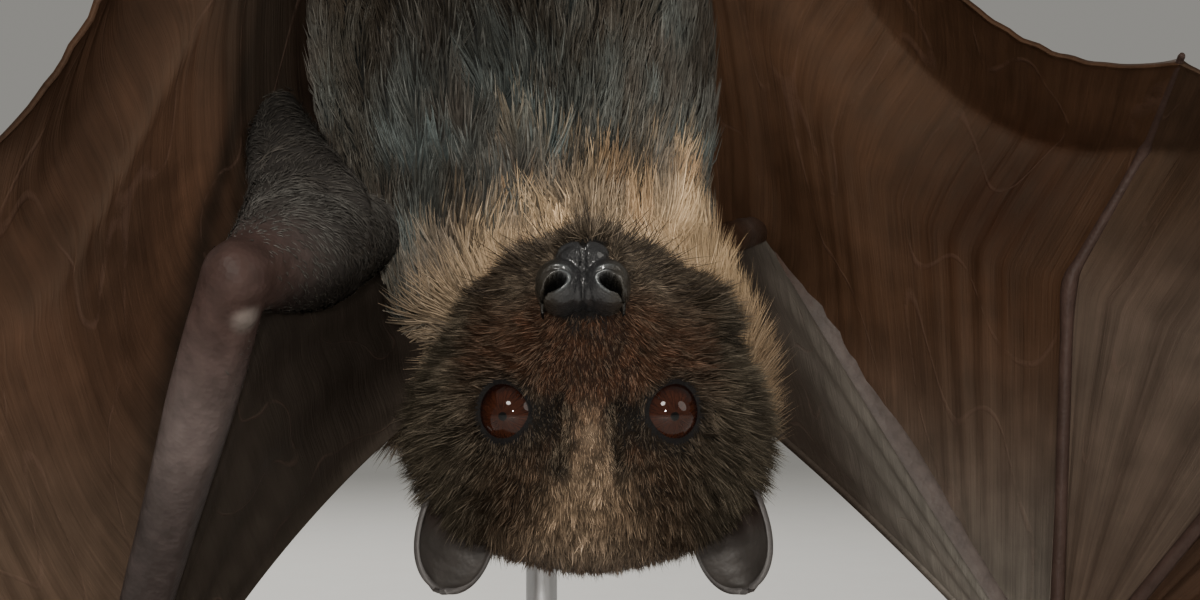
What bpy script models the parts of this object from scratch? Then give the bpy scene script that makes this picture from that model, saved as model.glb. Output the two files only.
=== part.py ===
"""Fruit bat hanging head down from a cut branch, held by a display stand.

Each sub-part is one closed solid that reaches out to the tips of the coat.
Sizes and places are in millimetres, and finish() scales each mesh to metres.
The bat's belly faces -Y, its left side is -X, and the floor is z = 0.
"""
import math

import bmesh
import bpy
from mathutils import Vector

MM = 0.001
GAP = 0.3                      # clearance between neighbouring solids

# Stand and perch
BASE_SIZE = (320.0, 220.0, 18.0)
BASE_CORNER = 24.0
BASE_EDGE = 2.5
ROD_RADIUS = 4.0
ROD_X = 45.0
ROD_Y = 76.0
ROD_BEND = 22.0
PERCH_Z = 461.0
PERCH_Y = 0.0
PERCH_RADIUS = 12.5
PERCH_HALF_LENGTH = 104.0
PERCH_BOW = 3.0
PERCH_TAPER = 0.07
PERCH_KNOT = (0.55, 0.16, 0.08)  # place along the half length, width and height of the swelling
ROD_END_Y = 4.0                 # where the centre of the rod's end lies inside the perch
ROD_DROP = 1.0                  # how far the rod's end lies below the perch's centre

# Head: seen along the muzzle, with its own axes from turn and pitch
HEAD_CENTRE = Vector((-13.5, -61.6, 178.2))
HEAD_TURN = math.radians(28.0)
HEAD_PITCH = math.radians(33.0)
EYE_RADIUS = 6.3
EYE_AHEAD = 12.0
EYE_ASIDE = 13.8
EYE_ABOVE = 6.2
SOCKET_RADIUS = 7.2
SOCKET_AHEAD = 4.6              # how far the mouth of the socket lies in front of the eye's centre
SOCKET_OUTWARD = 0.45
SOCKET_RISE = 1.0
EAR_LENGTH = 20.5
EAR_HALF_WIDTH = 8.2
EAR_CUP = 4.0
EAR_PLACE = (-12.0, 24.6, 10.5)  # ahead, aside, above
EAR_THICKNESS = 1.6
EAR_GROWTH = (-0.06, 0.20, 0.94)  # direction of its length: along the muzzle, outwards, to the crown
EAR_WIDENING = (0.40, 0.86)       # direction of its width: along the muzzle, outwards
EAR_BASE_WIDTH = 0.80
EAR_SPREAD = 0.45
EAR_TIP_POWER = 2.4
EAR_CUP_FADE = 0.55

# Head sections: (along muzzle, above axis, half width, half height)
HEAD_SECTIONS = (
    (-31.0, -1.0, 13.0, 11.0),
    (-27.0, -0.5, 23.0, 19.0),
    (-20.0, 0.0, 32.5, 25.8),
    (-11.0, -0.5, 36.8, 29.5),
    (-3.0, -2.5, 36.0, 30.0),
    (4.0, -5.0, 32.5, 28.0),
    (10.0, -7.5, 27.5, 24.2),
    (16.0, -9.5, 22.5, 20.5),
    (22.0, -11.0, 17.5, 17.0),
    (27.0, -12.0, 13.2, 13.8),
    (30.5, -12.3, 9.2, 9.6),
)
NOSE_ASIDE = -1.0               # the nose lies a little to one side, as the head is slightly turned
NOSTRIL_ASIDE = 4.3
NOSE_MIDDLE_SHARE = 0.85        # the bridge between the nostrils is slimmer than they are
NOSE_TALLNESS = 1.12
NOSTRIL_SECTIONS = ((22.0, -8.7, 3.6), (30.0, -7.6, 4.6), (36.0, -6.8, 4.3))

# Trunk sections from rump to shoulders: (x, y, z, half width, half depth)
TRUNK_SECTIONS = (
    (0.0, 12.0, 350.0, 17.0, 12.0),
    (0.0, 9.0, 341.0, 29.0, 20.0),
    (0.0, 6.0, 322.0, 38.0, 27.0),
    (0.0, 3.0, 298.0, 44.0, 31.5),
    (0.0, 1.0, 270.0, 48.5, 34.5),
    (0.0, 0.0, 243.0, 50.5, 36.0),
    (0.0, -1.0, 218.0, 49.0, 36.0),
    (1.0, -7.0, 199.0, 48.5, 35.0),
)
NECK_SECTIONS = (
    (1.0, -7.0, 199.0, 48.5, 35.0),
    (3.5, -17.0, 188.0, 46.5, 34.0),
    (2.0, -28.0, 180.0, 42.0, 32.5),
    (-3.0, -40.0, 174.0, 34.0, 29.0),
    (-6.5, -49.0, 172.0, 24.0, 20.0),
)

# Wing bones: (length, azimuth from the belly side outwards, rise), in degrees
WINGS = {
    "left": {
        "shoulder": (27.0, 0.0, 216.0),
        "arm": ((92.0, 40.0, -7.5), (140.0, 174.0, -57.0)),
        "upper_radii": (14.0, 10.5, 13.5, 7.5),
        5: ((104.0, 135.0, 60.0), (36.0, 140.0, 70.0), (32.0, 130.0, 75.0)),
        4: ((100.0, 118.0, 38.0), (58.0, 105.0, 45.0), (52.0, 92.0, 50.0)),
        3: ((98.0, 108.0, 15.0), (70.0, 95.0, 18.0), (86.0, 82.0, 22.0)),
        2: ((46.0, 98.0, -2.0), (20.0, 93.0, -4.0)),
        "thumb": ((26.0, 20.0, -28.0), (20.0, 0.0, -40.0)),
        "trail_pull": 1.22,
        "neck_point": (30.0, -34.0, 181.0),
        "lead_sag": 0.20,
    },
    "right": {
        "shoulder": (27.0, 0.0, 206.0),
        "arm": ((92.0, 128.0, 8.0), (140.0, 32.0, -56.0)),
        "upper_radii": (14.0, 11.0, 8.0, 6.6),
        5: ((102.0, 0.0, 87.0), (36.0, 46.0, 60.0), (32.0, -24.0, 37.0)),
        4: ((100.0, 33.0, 52.0), (58.0, 12.0, 50.0), (52.0, -12.0, 48.0)),
        3: ((98.0, 46.0, 26.0), (70.0, 24.0, 24.0), (86.0, 2.0, 22.0)),
        2: ((46.0, 54.0, 8.0), (20.0, 48.0, 4.0)),
        "thumb": ((26.0, -20.0, -30.0), (20.0, -30.0, -45.0)),
        "trail_pull": 0.75,
        "neck_point": (34.0, -24.0, 184.0),
        "lead_sag": 0.07,
    },
}
FOREARM_RADII = (6.6, 5.6, 4.6, 4.2, 4.6)
# Furred fold of skin from the left upper arm up to the flank: (x outwards, y, z, half width, half depth)
ARM_FOLD_SECTIONS = (
    (52.0, -31.0, 212.0, 11.0, 10.0),
    (57.0, -27.0, 220.0, 12.5, 10.0),
    (58.5, -19.0, 229.0, 10.5, 8.0),
    (58.0, -8.0, 239.0, 7.5, 5.5),
    (56.5, 2.0, 250.0, 4.5, 3.0),
)
WRIST_RADIUS = 6.6
WRIST_SECTIONS = ((-0.8, 0.80), (0.0, 1.0), (0.8, 0.85))  # place and size, as shares of the wrist's radius
FINGER_RADIUS = 1.9
FINGER_TAPER = 0.55
FINGER_TIP_RADIUS = 0.75
KNUCKLE_SWELL = 1.25
THUMB_RADII = (3.4, 2.4, 2.5, 2.2)
THUMB_CLAW_BEND_RADIUS = 8.84
THUMB_CLAW_SWEEP = 95.0
THUMB_CLAW_RADIUS = 2.1
THUMB_CLAW_TIP = 0.35
THUMB_CLAW_CURL = Vector((0.0, 0.55, 0.83))
THUMB_ROOT = 0.12                   # where the front membrane ends along the thumb
MEMBRANE_THICKNESS = 0.8
FINGER_MARKS = (0.5, 0.75, 1.0)     # where the joints of a finger fall along its membrane
ARM_MARKS = (0.4, 1.0)
ARM_FOLD = 2.4                      # how fast the fold at the elbow dies out across the side membrane
ELBOW_SOFTNESS = 0.04
TIP_INSET = 0.95
WRIST_INSET = 0.05
SIDE_BILLOW = 9.0
TRAIL_MIDDLE = 0.55                 # the trailing edge is pulled in from this share of its chord
TRAIL_GOAL = 0.35                   # towards this share of the way from the elbow to the first knuckle
TRAIL_LEAVING = 0.35
TRAIL_LEAVING_SHIFT = (14.0, 0.0, 6.0)
# Line where the wing joins the body beyond the shoulder and before the knee, x counted outwards
FLANK_POINTS = ((34.0, 8.0, 250.0), (31.0, 12.0, 295.0), (24.0, 13.0, 340.0))
# Membranes between fingers: inner, outer, bones of the inner one, marks of each, scallop, billow
PANELS = (
    (5, 4, 3, FINGER_MARKS, FINGER_MARKS, 0.15, 6.0),
    (4, 3, 3, FINGER_MARKS, FINGER_MARKS, 0.13, 7.0),
    (3, 2, 1, (1.0,), (0.5, 1.0), 0.10, 1.0),
)

# Legs: joints at (x, y, z), x counted outwards
HIP = (15.0, 9.0, 334.0)
KNEE = (37.0, 14.0, 381.0)
ANKLE = (21.0, 18.0, 436.0)
THIGH_RADII = (15.0, 12.0, 8.5)
SHIN_RADII = (7.0, 5.4, 4.4)
ANKLE_RADIUS = 4.3
SOLE_SECTIONS = ((-28.0, 4.6, 3.4), (0.0, 5.6, 3.0), (30.0, 7.0, 2.6))  # degrees round the perch, half sizes
SOLE_LIFT = 1.0
TOE_RADIUS = 2.1
TOE_LIFT = 0.5
TOE_SPREAD = 3.5
TOE_COUNT = 5
TOE_SECTIONS = ((14.0, 1.7), (68.0, 2.0), (122.0, 1.9))  # degrees round the perch, radius
TOE_FAN = (0.55, 14.0, 60.0)    # share of the spread at the root, where it starts and how far it opens
CLAW_START = 122.0
CLAW_SWEEP = 62.0
CLAW_RADIUS = 1.6
CLAW_TIP = 0.35
CLAW_ARCH = 1.6
TAIL_HIP = (6.0, 11.0, 344.0)
TAIL_RUMP = (2.5, 12.0, 347.0)
TAIL_DRAW = 0.42                # how far the tail membrane's edge is drawn in at the knee

# Facets round the solids and across the sheets
BODY_SIDES = 18
LIMB_SIDES = 10
FINGER_SIDES = 5
EAR_GRID = (4, 5)
SIDE_GRID = (10, 5)
FRONT_GRID = (8, 2)
PANEL_GRID = (3, 8)
SHORT_PANEL_GRID = (3, 4)
TAIL_GRID = (3, 5)

SIDE_SIGN = {"left": -1.0, "right": 1.0}
FLAT_ANGLE = math.radians(0.8)  # faces that meet flatter than this are joined after a cut


def clear_scene():
    for item in list(bpy.data.objects):
        bpy.data.objects.remove(item, do_unlink=True)


def material(name, colour, roughness, metallic=0.0):
    made = bpy.data.materials.get(name)
    if made is None:
        made = bpy.data.materials.new(name)
        made.use_nodes = True
        shader = made.node_tree.nodes["Principled BSDF"]
        shader.inputs["Base Color"].default_value = (*colour, 1.0)
        shader.inputs["Roughness"].default_value = roughness
        shader.inputs["Metallic"].default_value = metallic
    return made


DARK_FUR = ("dark_fur", (0.050, 0.030, 0.020), 0.75)
BELLY_FUR = ("belly_fur", (0.075, 0.070, 0.065), 0.80)
COLLAR_FUR = ("collar_fur", (0.42, 0.22, 0.10), 0.80)
WING_SKIN = ("wing_skin", (0.060, 0.028, 0.018), 0.50)
ARM_SKIN = ("arm_skin", (0.13, 0.09, 0.09), 0.50)
EAR_SKIN = ("ear_skin", (0.16, 0.16, 0.19), 0.55)
EYE_GLOSS = ("eye_gloss", (0.090, 0.020, 0.008), 0.05)
CLAW_HORN = ("claw_horn", (0.020, 0.016, 0.014), 0.30)
BARK = ("bark", (0.17, 0.11, 0.07), 0.85)
STAND_WOOD = ("stand_wood", (0.10, 0.045, 0.020), 0.45)
STAND_STEEL = ("stand_steel", (0.42, 0.42, 0.43), 0.35, 0.9)


# ---------------------------------------------------------------- shape tools

def ring(centre, across, up, half_across, half_up, sides):
    """Points of an ellipse round a centre."""
    points = []
    for index in range(sides):
        angle = 2.0 * math.pi * index / sides
        points.append(centre + across * (half_across * math.cos(angle)) + up * (half_up * math.sin(angle)))
    return points


def loft(rings, start=None, end=None):
    """Closed mesh through rings of equal count; start and end are pole points or None for a flat end."""
    mesh = bmesh.new()
    rows = [[mesh.verts.new(point) for point in points] for points in rings]
    count = len(rows[0])
    for low, high in zip(rows, rows[1:]):
        for index in range(count):
            after = (index + 1) % count
            mesh.faces.new((low[index], low[after], high[after], high[index]))
    for row, pole in ((rows[0], start), (rows[-1], end)):
        if pole is None:
            mesh.faces.new(row)
        else:
            tip = mesh.verts.new(pole)
            for index in range(count):
                mesh.faces.new((row[index], row[(index + 1) % count], tip))
    bmesh.ops.recalc_face_normals(mesh, faces=mesh.faces)
    return mesh


def blend_rows(rows, count):
    """Rows of numbers read from a smooth curve through the given rows, evenly spaced by row."""
    last = len(rows) - 1
    result = []
    for step in range(count):
        place = last * step / (count - 1)
        index = min(int(place), last - 1)
        part = place - index
        before = rows[max(index - 1, 0)]
        here = rows[index]
        there = rows[index + 1]
        beyond = rows[min(index + 2, last)]
        row = []
        for a, b, c, d in zip(before, here, there, beyond):
            row.append(0.5 * (2.0 * b + (c - a) * part + (2.0 * a - 5.0 * b + 4.0 * c - d) * part ** 2
                              + (3.0 * b - a - 3.0 * c + d) * part ** 3))
        result.append(row)
    return result


def sweep(rows, across, sides, grow=0.0, round_start=True, round_end=True):
    """Tube along rows of (x, y, z, half width, half height); the width lies along `across`."""
    centres = [Vector(row[:3]) for row in rows]
    last = len(rows) - 1
    rings = []
    poles = []
    for index, centre in enumerate(centres):
        along = (centres[min(index + 1, last)] - centres[max(index - 1, 0)]).normalized()
        side = (across - along * across.dot(along)).normalized()
        up = along.cross(side)
        wide = rows[index][3] + grow
        high = rows[index][4] + grow
        caps = []
        if index in (0, last):
            outward = -along if index == 0 else along
            rounded = round_start if index == 0 else round_end
            reach = min(wide, high)
            if rounded:
                caps.append(ring(centre + outward * (0.62 * reach), side, up, 0.74 * wide, 0.74 * high, sides))
                poles.append(centre + outward * (0.92 * reach))
            else:
                centre = centre + outward * grow
                poles.append(None)
        if index == 0:
            rings.extend(caps)
        rings.append(ring(centre, side, up, wide, high, sides))
        if index == last:
            rings.extend(caps)
    return loft(rings, poles[0], poles[-1])


def sheet(surface, across_count, along_count, thickness):
    """Thin closed sheet about the surface(u, v), u and v from 0 to 1."""
    nudge = 1e-3
    upper = []
    lower = []
    for j in range(along_count + 1):
        for i in range(across_count + 1):
            u = i / across_count
            v = j / along_count
            u_inner = min(max(u, nudge), 1.0 - nudge)
            v_inner = min(max(v, nudge), 1.0 - nudge)
            du = surface(u_inner + nudge, v_inner) - surface(u_inner - nudge, v_inner)
            dv = surface(u_inner, v_inner + nudge) - surface(u_inner, v_inner - nudge)
            normal = du.cross(dv).normalized()
            point = surface(u, v)
            upper.append(point + normal * (0.5 * thickness))
            lower.append(point - normal * (0.5 * thickness))
    mesh = bmesh.new()
    tops = [mesh.verts.new(point) for point in upper]
    bottoms = [mesh.verts.new(point) for point in lower]
    stride = across_count + 1

    def at(i, j):
        return j * stride + i

    for j in range(along_count):
        for i in range(across_count):
            corners = (at(i, j), at(i + 1, j), at(i + 1, j + 1), at(i, j + 1))
            mesh.faces.new([tops[c] for c in corners])
            mesh.faces.new([bottoms[c] for c in reversed(corners)])
    rim = [at(i, 0) for i in range(across_count)]
    rim += [at(across_count, j) for j in range(along_count)]
    rim += [at(i, along_count) for i in range(across_count, 0, -1)]
    rim += [at(0, j) for j in range(along_count, 0, -1)]
    for here, there in zip(rim, rim[1:] + rim[:1]):
        mesh.faces.new((tops[there], tops[here], bottoms[here], bottoms[there]))
    bmesh.ops.recalc_face_normals(mesh, faces=mesh.faces)
    return mesh


def temporary(mesh):
    """Object from a bmesh, for a Boolean."""
    bmesh.ops.triangulate(mesh, faces=mesh.faces)
    data = bpy.data.meshes.new("temporary")
    mesh.to_mesh(data)
    mesh.free()
    item = bpy.data.objects.new("temporary", data)
    bpy.context.scene.collection.objects.link(item)
    return item


def is_closed(mesh):
    return len(mesh.faces) > 3 and all(len(edge.link_faces) == 2 for edge in mesh.edges)


def combine_pair(mesh, other, operation):
    """Boolean of two bmeshes, both used up; the second solver is for a cut that the first one fails."""
    item = temporary(mesh)
    helper = temporary(other)
    step = item.modifiers.new("step", "BOOLEAN")
    step.operation = operation
    step.object = helper
    for solver in ("EXACT", "MANIFOLD"):
        step.solver = solver
        evaluated = item.evaluated_get(bpy.context.evaluated_depsgraph_get())
        result = bmesh.new()
        result.from_mesh(evaluated.to_mesh())
        evaluated.to_mesh_clear()
        if is_closed(result):
            break
    for used in (helper, item):
        data = used.data
        bpy.data.objects.remove(used, do_unlink=True)
        bpy.data.meshes.remove(data)
    return result


def combine(mesh, others, operation):
    """Boolean of a bmesh with each of a list of bmeshes in turn."""
    for other in others:
        mesh = combine_pair(mesh, other, operation)
    return mesh


def keep_largest(mesh):
    """Deletes every loose crumb that a cut leaves, and keeps the main body."""
    mesh.faces.ensure_lookup_table()
    left = set(mesh.faces)
    groups = []
    while left:
        stack = [left.pop()]
        group = set(stack)
        while stack:
            face = stack.pop()
            for edge in face.edges:
                for other in edge.link_faces:
                    if other in left:
                        left.discard(other)
                        group.add(other)
                        stack.append(other)
        groups.append(group)
    groups.sort(key=lambda group: sum(face.calc_area() for face in group))
    crumbs = [face for group in groups[:-1] for face in group]
    if crumbs:
        bmesh.ops.delete(mesh, geom=crumbs, context="FACES")
        loose = [vert for vert in mesh.verts if not vert.link_faces]
        bmesh.ops.delete(mesh, geom=loose, context="VERTS")
    return mesh


def cut(mesh, cutters):
    """The mesh less its grown neighbours."""
    result = combine(mesh, cutters, "DIFFERENCE")
    bmesh.ops.remove_doubles(result, verts=result.verts, dist=0.002)
    bmesh.ops.dissolve_degenerate(result, edges=result.edges, dist=0.002)
    bmesh.ops.dissolve_limit(result, angle_limit=FLAT_ANGLE, verts=result.verts, edges=result.edges)
    return keep_largest(result)


def finish(name, mesh, look, smooth=True):
    """Writes the named object in metres with its material."""
    bmesh.ops.scale(mesh, vec=(MM, MM, MM), verts=mesh.verts)
    bmesh.ops.triangulate(mesh, faces=mesh.faces)
    data = bpy.data.meshes.new(name)
    mesh.to_mesh(data)
    mesh.free()
    if smooth:
        data.shade_smooth()
        data.set_sharp_from_angle(angle=math.radians(50.0))
    data.materials.append(material(*look))
    item = bpy.data.objects.new(name, data)
    bpy.context.scene.collection.objects.link(item)
    return item


# ------------------------------------------------------------------ skeleton

def step_from(point, side, length, azimuth, rise):
    """Next joint from one, by a bone's length, azimuth and rise."""
    turn = math.radians(azimuth)
    lift = math.radians(rise)
    return point + Vector((side * math.sin(turn) * math.cos(lift), -math.cos(turn) * math.cos(lift),
                           math.sin(lift))) * length


def chain(start, side, bones):
    joints = [start]
    for bone in bones:
        joints.append(step_from(joints[-1], side, *bone))
    return joints


def along(joints, place):
    """Point at a fraction of the length of a chain of joints."""
    lengths = [(b - a).length for a, b in zip(joints, joints[1:])]
    target = place * sum(lengths)
    for a, b, length in zip(joints, joints[1:], lengths):
        if target <= length:
            return a.lerp(b, target / length)
        target -= length
    return joints[-1].copy()


def at_marks(joints, place, marks):
    """Point on a chain of joints whose joints fall at the given marks from 0 to 1."""
    low = 0.0
    for index, mark in enumerate(marks):
        if place <= mark:
            return joints[index].lerp(joints[index + 1], (place - low) / (mark - low))
        low = mark
    return joints[-1].copy()


def curved(joints, place):
    """Point at a fraction of a smooth curve through the joints."""
    last = len(joints) - 1
    spot = place * last
    rows = [tuple(joint) for joint in joints]
    index = min(int(spot), last - 1)
    window = [rows[max(index - 1, 0)], rows[index], rows[index + 1], rows[min(index + 2, last)]]
    part = spot - index
    values = []
    for a, b, c, d in zip(*window):
        values.append(0.5 * (2.0 * b + (c - a) * part + (2.0 * a - 5.0 * b + 4.0 * c - d) * part ** 2
                             + (3.0 * b - a - 3.0 * c + d) * part ** 3))
    return Vector(values)


def wing_joints(name):
    plan = WINGS[name]
    side = SIDE_SIGN[name]
    arm = chain(mirror_point(plan["shoulder"], side), side, plan["arm"])
    joints = {"arm": arm}
    for digit in (2, 3, 4, 5):
        joints[digit] = chain(arm[2], side, plan[digit])
    joints["thumb"] = chain(arm[2], side, plan["thumb"])
    return joints


def mirror_point(point, side):
    return Vector((side * point[0], point[1], point[2]))


# ---------------------------------------------------------------- head shapes

def head_axes():
    toward = Vector((-math.sin(HEAD_TURN), -math.cos(HEAD_TURN), 0.0))
    muzzle = toward * math.cos(HEAD_PITCH) + Vector((0.0, 0.0, math.sin(HEAD_PITCH)))
    crown = toward * math.sin(HEAD_PITCH) - Vector((0.0, 0.0, math.cos(HEAD_PITCH)))
    aside = Vector((math.cos(HEAD_TURN), -math.sin(HEAD_TURN), 0.0))
    return muzzle, aside, crown


def head_point(ahead, aside, above):
    muzzle, right, crown = head_axes()
    return HEAD_CENTRE + muzzle * ahead + right * aside + crown * above


def head_shape(grow=0.0):
    rows = [(*head_point(s, 0.0, h), a, b) for s, h, a, b in HEAD_SECTIONS]
    return sweep(rows, head_axes()[1], BODY_SIDES, grow)


def ball(centre, radius):
    mesh = bmesh.new()
    bmesh.ops.create_uvsphere(mesh, u_segments=10, v_segments=7, radius=radius)
    bmesh.ops.translate(mesh, vec=centre, verts=mesh.verts)
    return mesh


def eye_shape(side, grow=0.0):
    return ball(head_point(EYE_AHEAD, side * EYE_ASIDE, EYE_ABOVE), EYE_RADIUS + grow)


def socket_shape(side):
    """Hollow of the face in front of the eye."""
    mouth = head_point(EYE_AHEAD + SOCKET_AHEAD, side * (EYE_ASIDE + SOCKET_OUTWARD * SOCKET_AHEAD),
                       EYE_ABOVE + SOCKET_RISE)
    return ball(mouth, SOCKET_RADIUS)


def nose_shape(grow=0.0):
    """Two short nostril tubes, turned a little outwards, and the pad between them."""
    tubes = []
    for side in (0.0, -1.0, 1.0):
        slim = 1.0 if side else NOSE_MIDDLE_SHARE
        rows = []
        for ahead, above, radius in NOSTRIL_SECTIONS:
            place = head_point(ahead, NOSE_ASIDE + side * NOSTRIL_ASIDE, above)
            rows.append((*place, radius * slim, radius * slim * NOSE_TALLNESS))
        tubes.append(sweep(rows, head_axes()[1], LIMB_SIDES, grow))
    return combine(tubes[0], tubes[1:], "UNION")


def ear_surface(side):
    muzzle, right, crown = head_axes()
    outward = right * side
    ahead, aside, above = EAR_PLACE
    base = head_point(ahead, side * aside, above)
    grown = (muzzle * EAR_GROWTH[0] + outward * EAR_GROWTH[1] + crown * EAR_GROWTH[2]).normalized()
    across = (muzzle * EAR_WIDENING[0] + outward * EAR_WIDENING[1]).normalized()
    across = (across - grown * across.dot(grown)).normalized()
    facing = grown.cross(across).normalized()
    if facing.dot(muzzle) < 0.0:
        facing = -facing

    def surface(u, v):
        spread = 2.0 * u - 1.0
        taper = math.sqrt(max(1.0 - v ** EAR_TIP_POWER, 0.012))
        half = EAR_HALF_WIDTH * (EAR_BASE_WIDTH + EAR_SPREAD * v) * taper
        cup = EAR_CUP * (1.0 - EAR_CUP_FADE * v) * (spread ** 2 - 0.4)
        return base + grown * (EAR_LENGTH * v) + across * (half * spread) + facing * cup

    return surface


# ---------------------------------------------------------------- wing shapes

def tube_rows(joints, radii, count):
    """Rows of a round tube along a chain of joints, its radii spread evenly over its length."""
    sizes = blend_rows([(radius,) for radius in radii], count)
    rows = []
    for index in range(count):
        point = along(joints, index / (count - 1))
        radius = sizes[index][0]
        rows.append((*point, radius, radius))
    return rows


def upper_arm_shape(joints, name, grow=0.0):
    """Furred upper arm; on the left, where the arm is folded forwards, with its fold of skin."""
    rows = tube_rows(joints["arm"][:2], WINGS[name]["upper_radii"], 5)
    arm = sweep(rows, Vector((0.0, 0.0, 1.0)), LIMB_SIDES, grow)
    if name == "right":
        return arm
    rows = [(SIDE_SIGN[name] * x, y, z, a, b) for x, y, z, a, b in ARM_FOLD_SECTIONS]
    return combine(arm, [sweep(rows, Vector((1.0, 0.0, 0.0)), LIMB_SIDES, grow)], "UNION")


def forearm_shape(joints, grow=0.0):
    return sweep(tube_rows(joints["arm"][1:], FOREARM_RADII, 7), Vector((1.0, 0.0, 0.0)), LIMB_SIDES, grow)


def wrist_shape(joints, grow=0.0):
    wrist = joints["arm"][2]
    along_arm = (wrist - joints["arm"][1]).normalized()
    rows = []
    for place, size in WRIST_SECTIONS:
        centre = wrist + along_arm * (place * WRIST_RADIUS)
        rows.append((*centre, WRIST_RADIUS * size, WRIST_RADIUS * size))
    return sweep(rows, Vector((1.0, 0.0, 0.0)), LIMB_SIDES, grow)


def digit_rows(joints, digit):
    """Rows of a finger: its bones are slimmer than its knuckles."""
    points = joints[digit]
    rows = []
    bones = len(points) - 1
    for bone in range(bones):
        for part in (0.0, 0.12, 0.88):
            place = points[bone].lerp(points[bone + 1], part)
            knuckle = KNUCKLE_SWELL if part == 0.0 else 1.0
            shrink = 1.0 - FINGER_TAPER * (bone + part) / bones
            radius = FINGER_RADIUS * knuckle * shrink
            rows.append((*place, radius, radius))
    rows.append((*points[-1], FINGER_TIP_RADIUS, FINGER_TIP_RADIUS))
    return rows


def digit_shape(joints, digit, grow=0.0):
    return sweep(digit_rows(joints, digit), Vector((0.3, 1.0, 0.1)).normalized(), FINGER_SIDES, grow)


def thumb_shape(joints, grow=0.0):
    return sweep(tube_rows(joints["thumb"], THUMB_RADII, 5), Vector((1.0, 0.0, 0.0)), LIMB_SIDES - 2, grow)


def thumb_claw_shape(joints, grow=0.0):
    """Hooked claw that carries on from the thumb's tip and curls back to the palm."""
    start = joints["thumb"][2]
    ahead = (start - joints["thumb"][1]).normalized()
    curl = (THUMB_CLAW_CURL - ahead * THUMB_CLAW_CURL.dot(ahead)).normalized()
    rows = []
    count = 5
    for index in range(count):
        part = index / (count - 1)
        angle = part * math.radians(THUMB_CLAW_SWEEP)
        reach = THUMB_CLAW_BEND_RADIUS
        centre = start + ahead * (reach * math.sin(angle)) + curl * (reach * (1.0 - math.cos(angle)))
        size = THUMB_CLAW_RADIUS * (1.0 - part) ** 0.8 + THUMB_CLAW_TIP
        rows.append((*centre, size * 0.7, size))
    return sweep(rows, ahead.cross(curl), 6, grow)


def coons(low, high, near, far):
    """Patch between four edges: low(u), high(u) and near(v), far(v)."""
    a = low(0.0)
    b = low(1.0)
    c = high(0.0)
    d = high(1.0)

    def surface(u, v):
        ruled_v = low(u).lerp(high(u), v)
        ruled_u = near(v).lerp(far(v), u)
        corners = a.lerp(b, u).lerp(c.lerp(d, u), v)
        return ruled_v + ruled_u - corners

    return surface


def flank(name):
    """Line where the wing joins the body, from shoulder to ankle, inside the flesh."""
    side = SIDE_SIGN[name]
    points = (WINGS[name]["shoulder"], *FLANK_POINTS, KNEE, ANKLE)
    return [mirror_point(point, side) for point in points]


def inset_tip(points):
    """The same chain with its end drawn in a little, so that the finger covers the corner."""
    return points[:-1] + [points[-2].lerp(points[-1], TIP_INSET)]


def trailing_edge(joints, name):
    """Scalloped edge from the ankle to the tip of the fifth finger."""
    side = SIDE_SIGN[name]
    start = mirror_point(ANKLE, side)
    stop = inset_tip(joints[5])[-1]
    middle = start.lerp(stop, TRAIL_MIDDLE)
    goal = joints["arm"][1].lerp(joints[5][1], TRAIL_GOAL)
    pulled = middle.lerp(goal, WINGS[name]["trail_pull"])
    leaving = start.lerp(pulled, TRAIL_LEAVING) + mirror_point(TRAIL_LEAVING_SHIFT, side)

    def edge(u):
        rest = 1.0 - u
        return (start * rest ** 3 + leaving * (3.0 * rest ** 2 * u)
                + pulled * (3.0 * rest * u ** 2) + stop * u ** 3)

    return edge


def soft_arm(joints, u):
    """Arm line with the elbow rounded off."""
    shifts = (-ELBOW_SOFTNESS, 0.0, ELBOW_SOFTNESS)
    points = [at_marks(joints["arm"], min(max(u + shift, 0.0), 1.0), ARM_MARKS) for shift in shifts]
    return (points[0] + points[1] + points[2]) / 3.0


def side_membrane_surface(joints, name):
    """Membrane between the flank, the arm and the fifth finger."""
    body_line = flank(name)
    edge = trailing_edge(joints, name)
    finger = inset_tip(joints[5])
    shoulder = joints["arm"][0]
    wrist = joints["arm"][2]
    patch = coons(lambda u: shoulder.lerp(wrist, u), edge,
                  lambda v: curved(body_line, v),
                  lambda v: at_marks(finger, v, FINGER_MARKS))

    def surface(u, v):
        billow = 16.0 * u * (1.0 - u) * v * (1.0 - v)
        arm_bend = (soft_arm(joints, u) - shoulder.lerp(wrist, u)) * (1.0 - v) ** ARM_FOLD
        return patch(u, v) + arm_bend + Vector((0.0, SIDE_BILLOW * billow, 0.0))

    return surface


def front_membrane_surface(joints, name):
    """Membrane ahead of the arm, from the side of the neck to the wrist."""
    side = SIDE_SIGN[name]
    arm = joints["arm"]
    neck_point = mirror_point(WINGS[name]["neck_point"], side)
    middle = neck_point.lerp(arm[2], 0.5)
    sag = WINGS[name]["lead_sag"]
    thumb_root = along(joints["thumb"], THUMB_ROOT)

    def surface(u, v):
        lead = neck_point.lerp(thumb_root, u)
        lead = lead + (arm[1] - middle) * (sag * 4.0 * u * (1.0 - u))
        return soft_arm(joints, u).lerp(lead, v)

    return surface


def off_wrist(points):
    """The same chain, started a little way out from the wrist."""
    return [points[0].lerp(points[1], WRIST_INSET)] + points[1:]


def finger_membrane_surface(inner, outer, inner_marks, outer_marks, scallop, billow):
    """Membrane between two fingers, its free edge scalloped."""
    inner = off_wrist(inset_tip(inner))
    outer = off_wrist(inset_tip(outer))

    def surface(u, v):
        shrink = v * (1.0 - scallop * 4.0 * u * (1.0 - u) * v)
        near = at_marks(inner, shrink, inner_marks)
        far = at_marks(outer, shrink, outer_marks)
        swell = 16.0 * u * (1.0 - u) * v * (1.0 - v) * billow
        return near.lerp(far, u) + Vector((0.0, swell, 0.0))

    return surface


# ----------------------------------------------------------------- leg shapes

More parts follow.
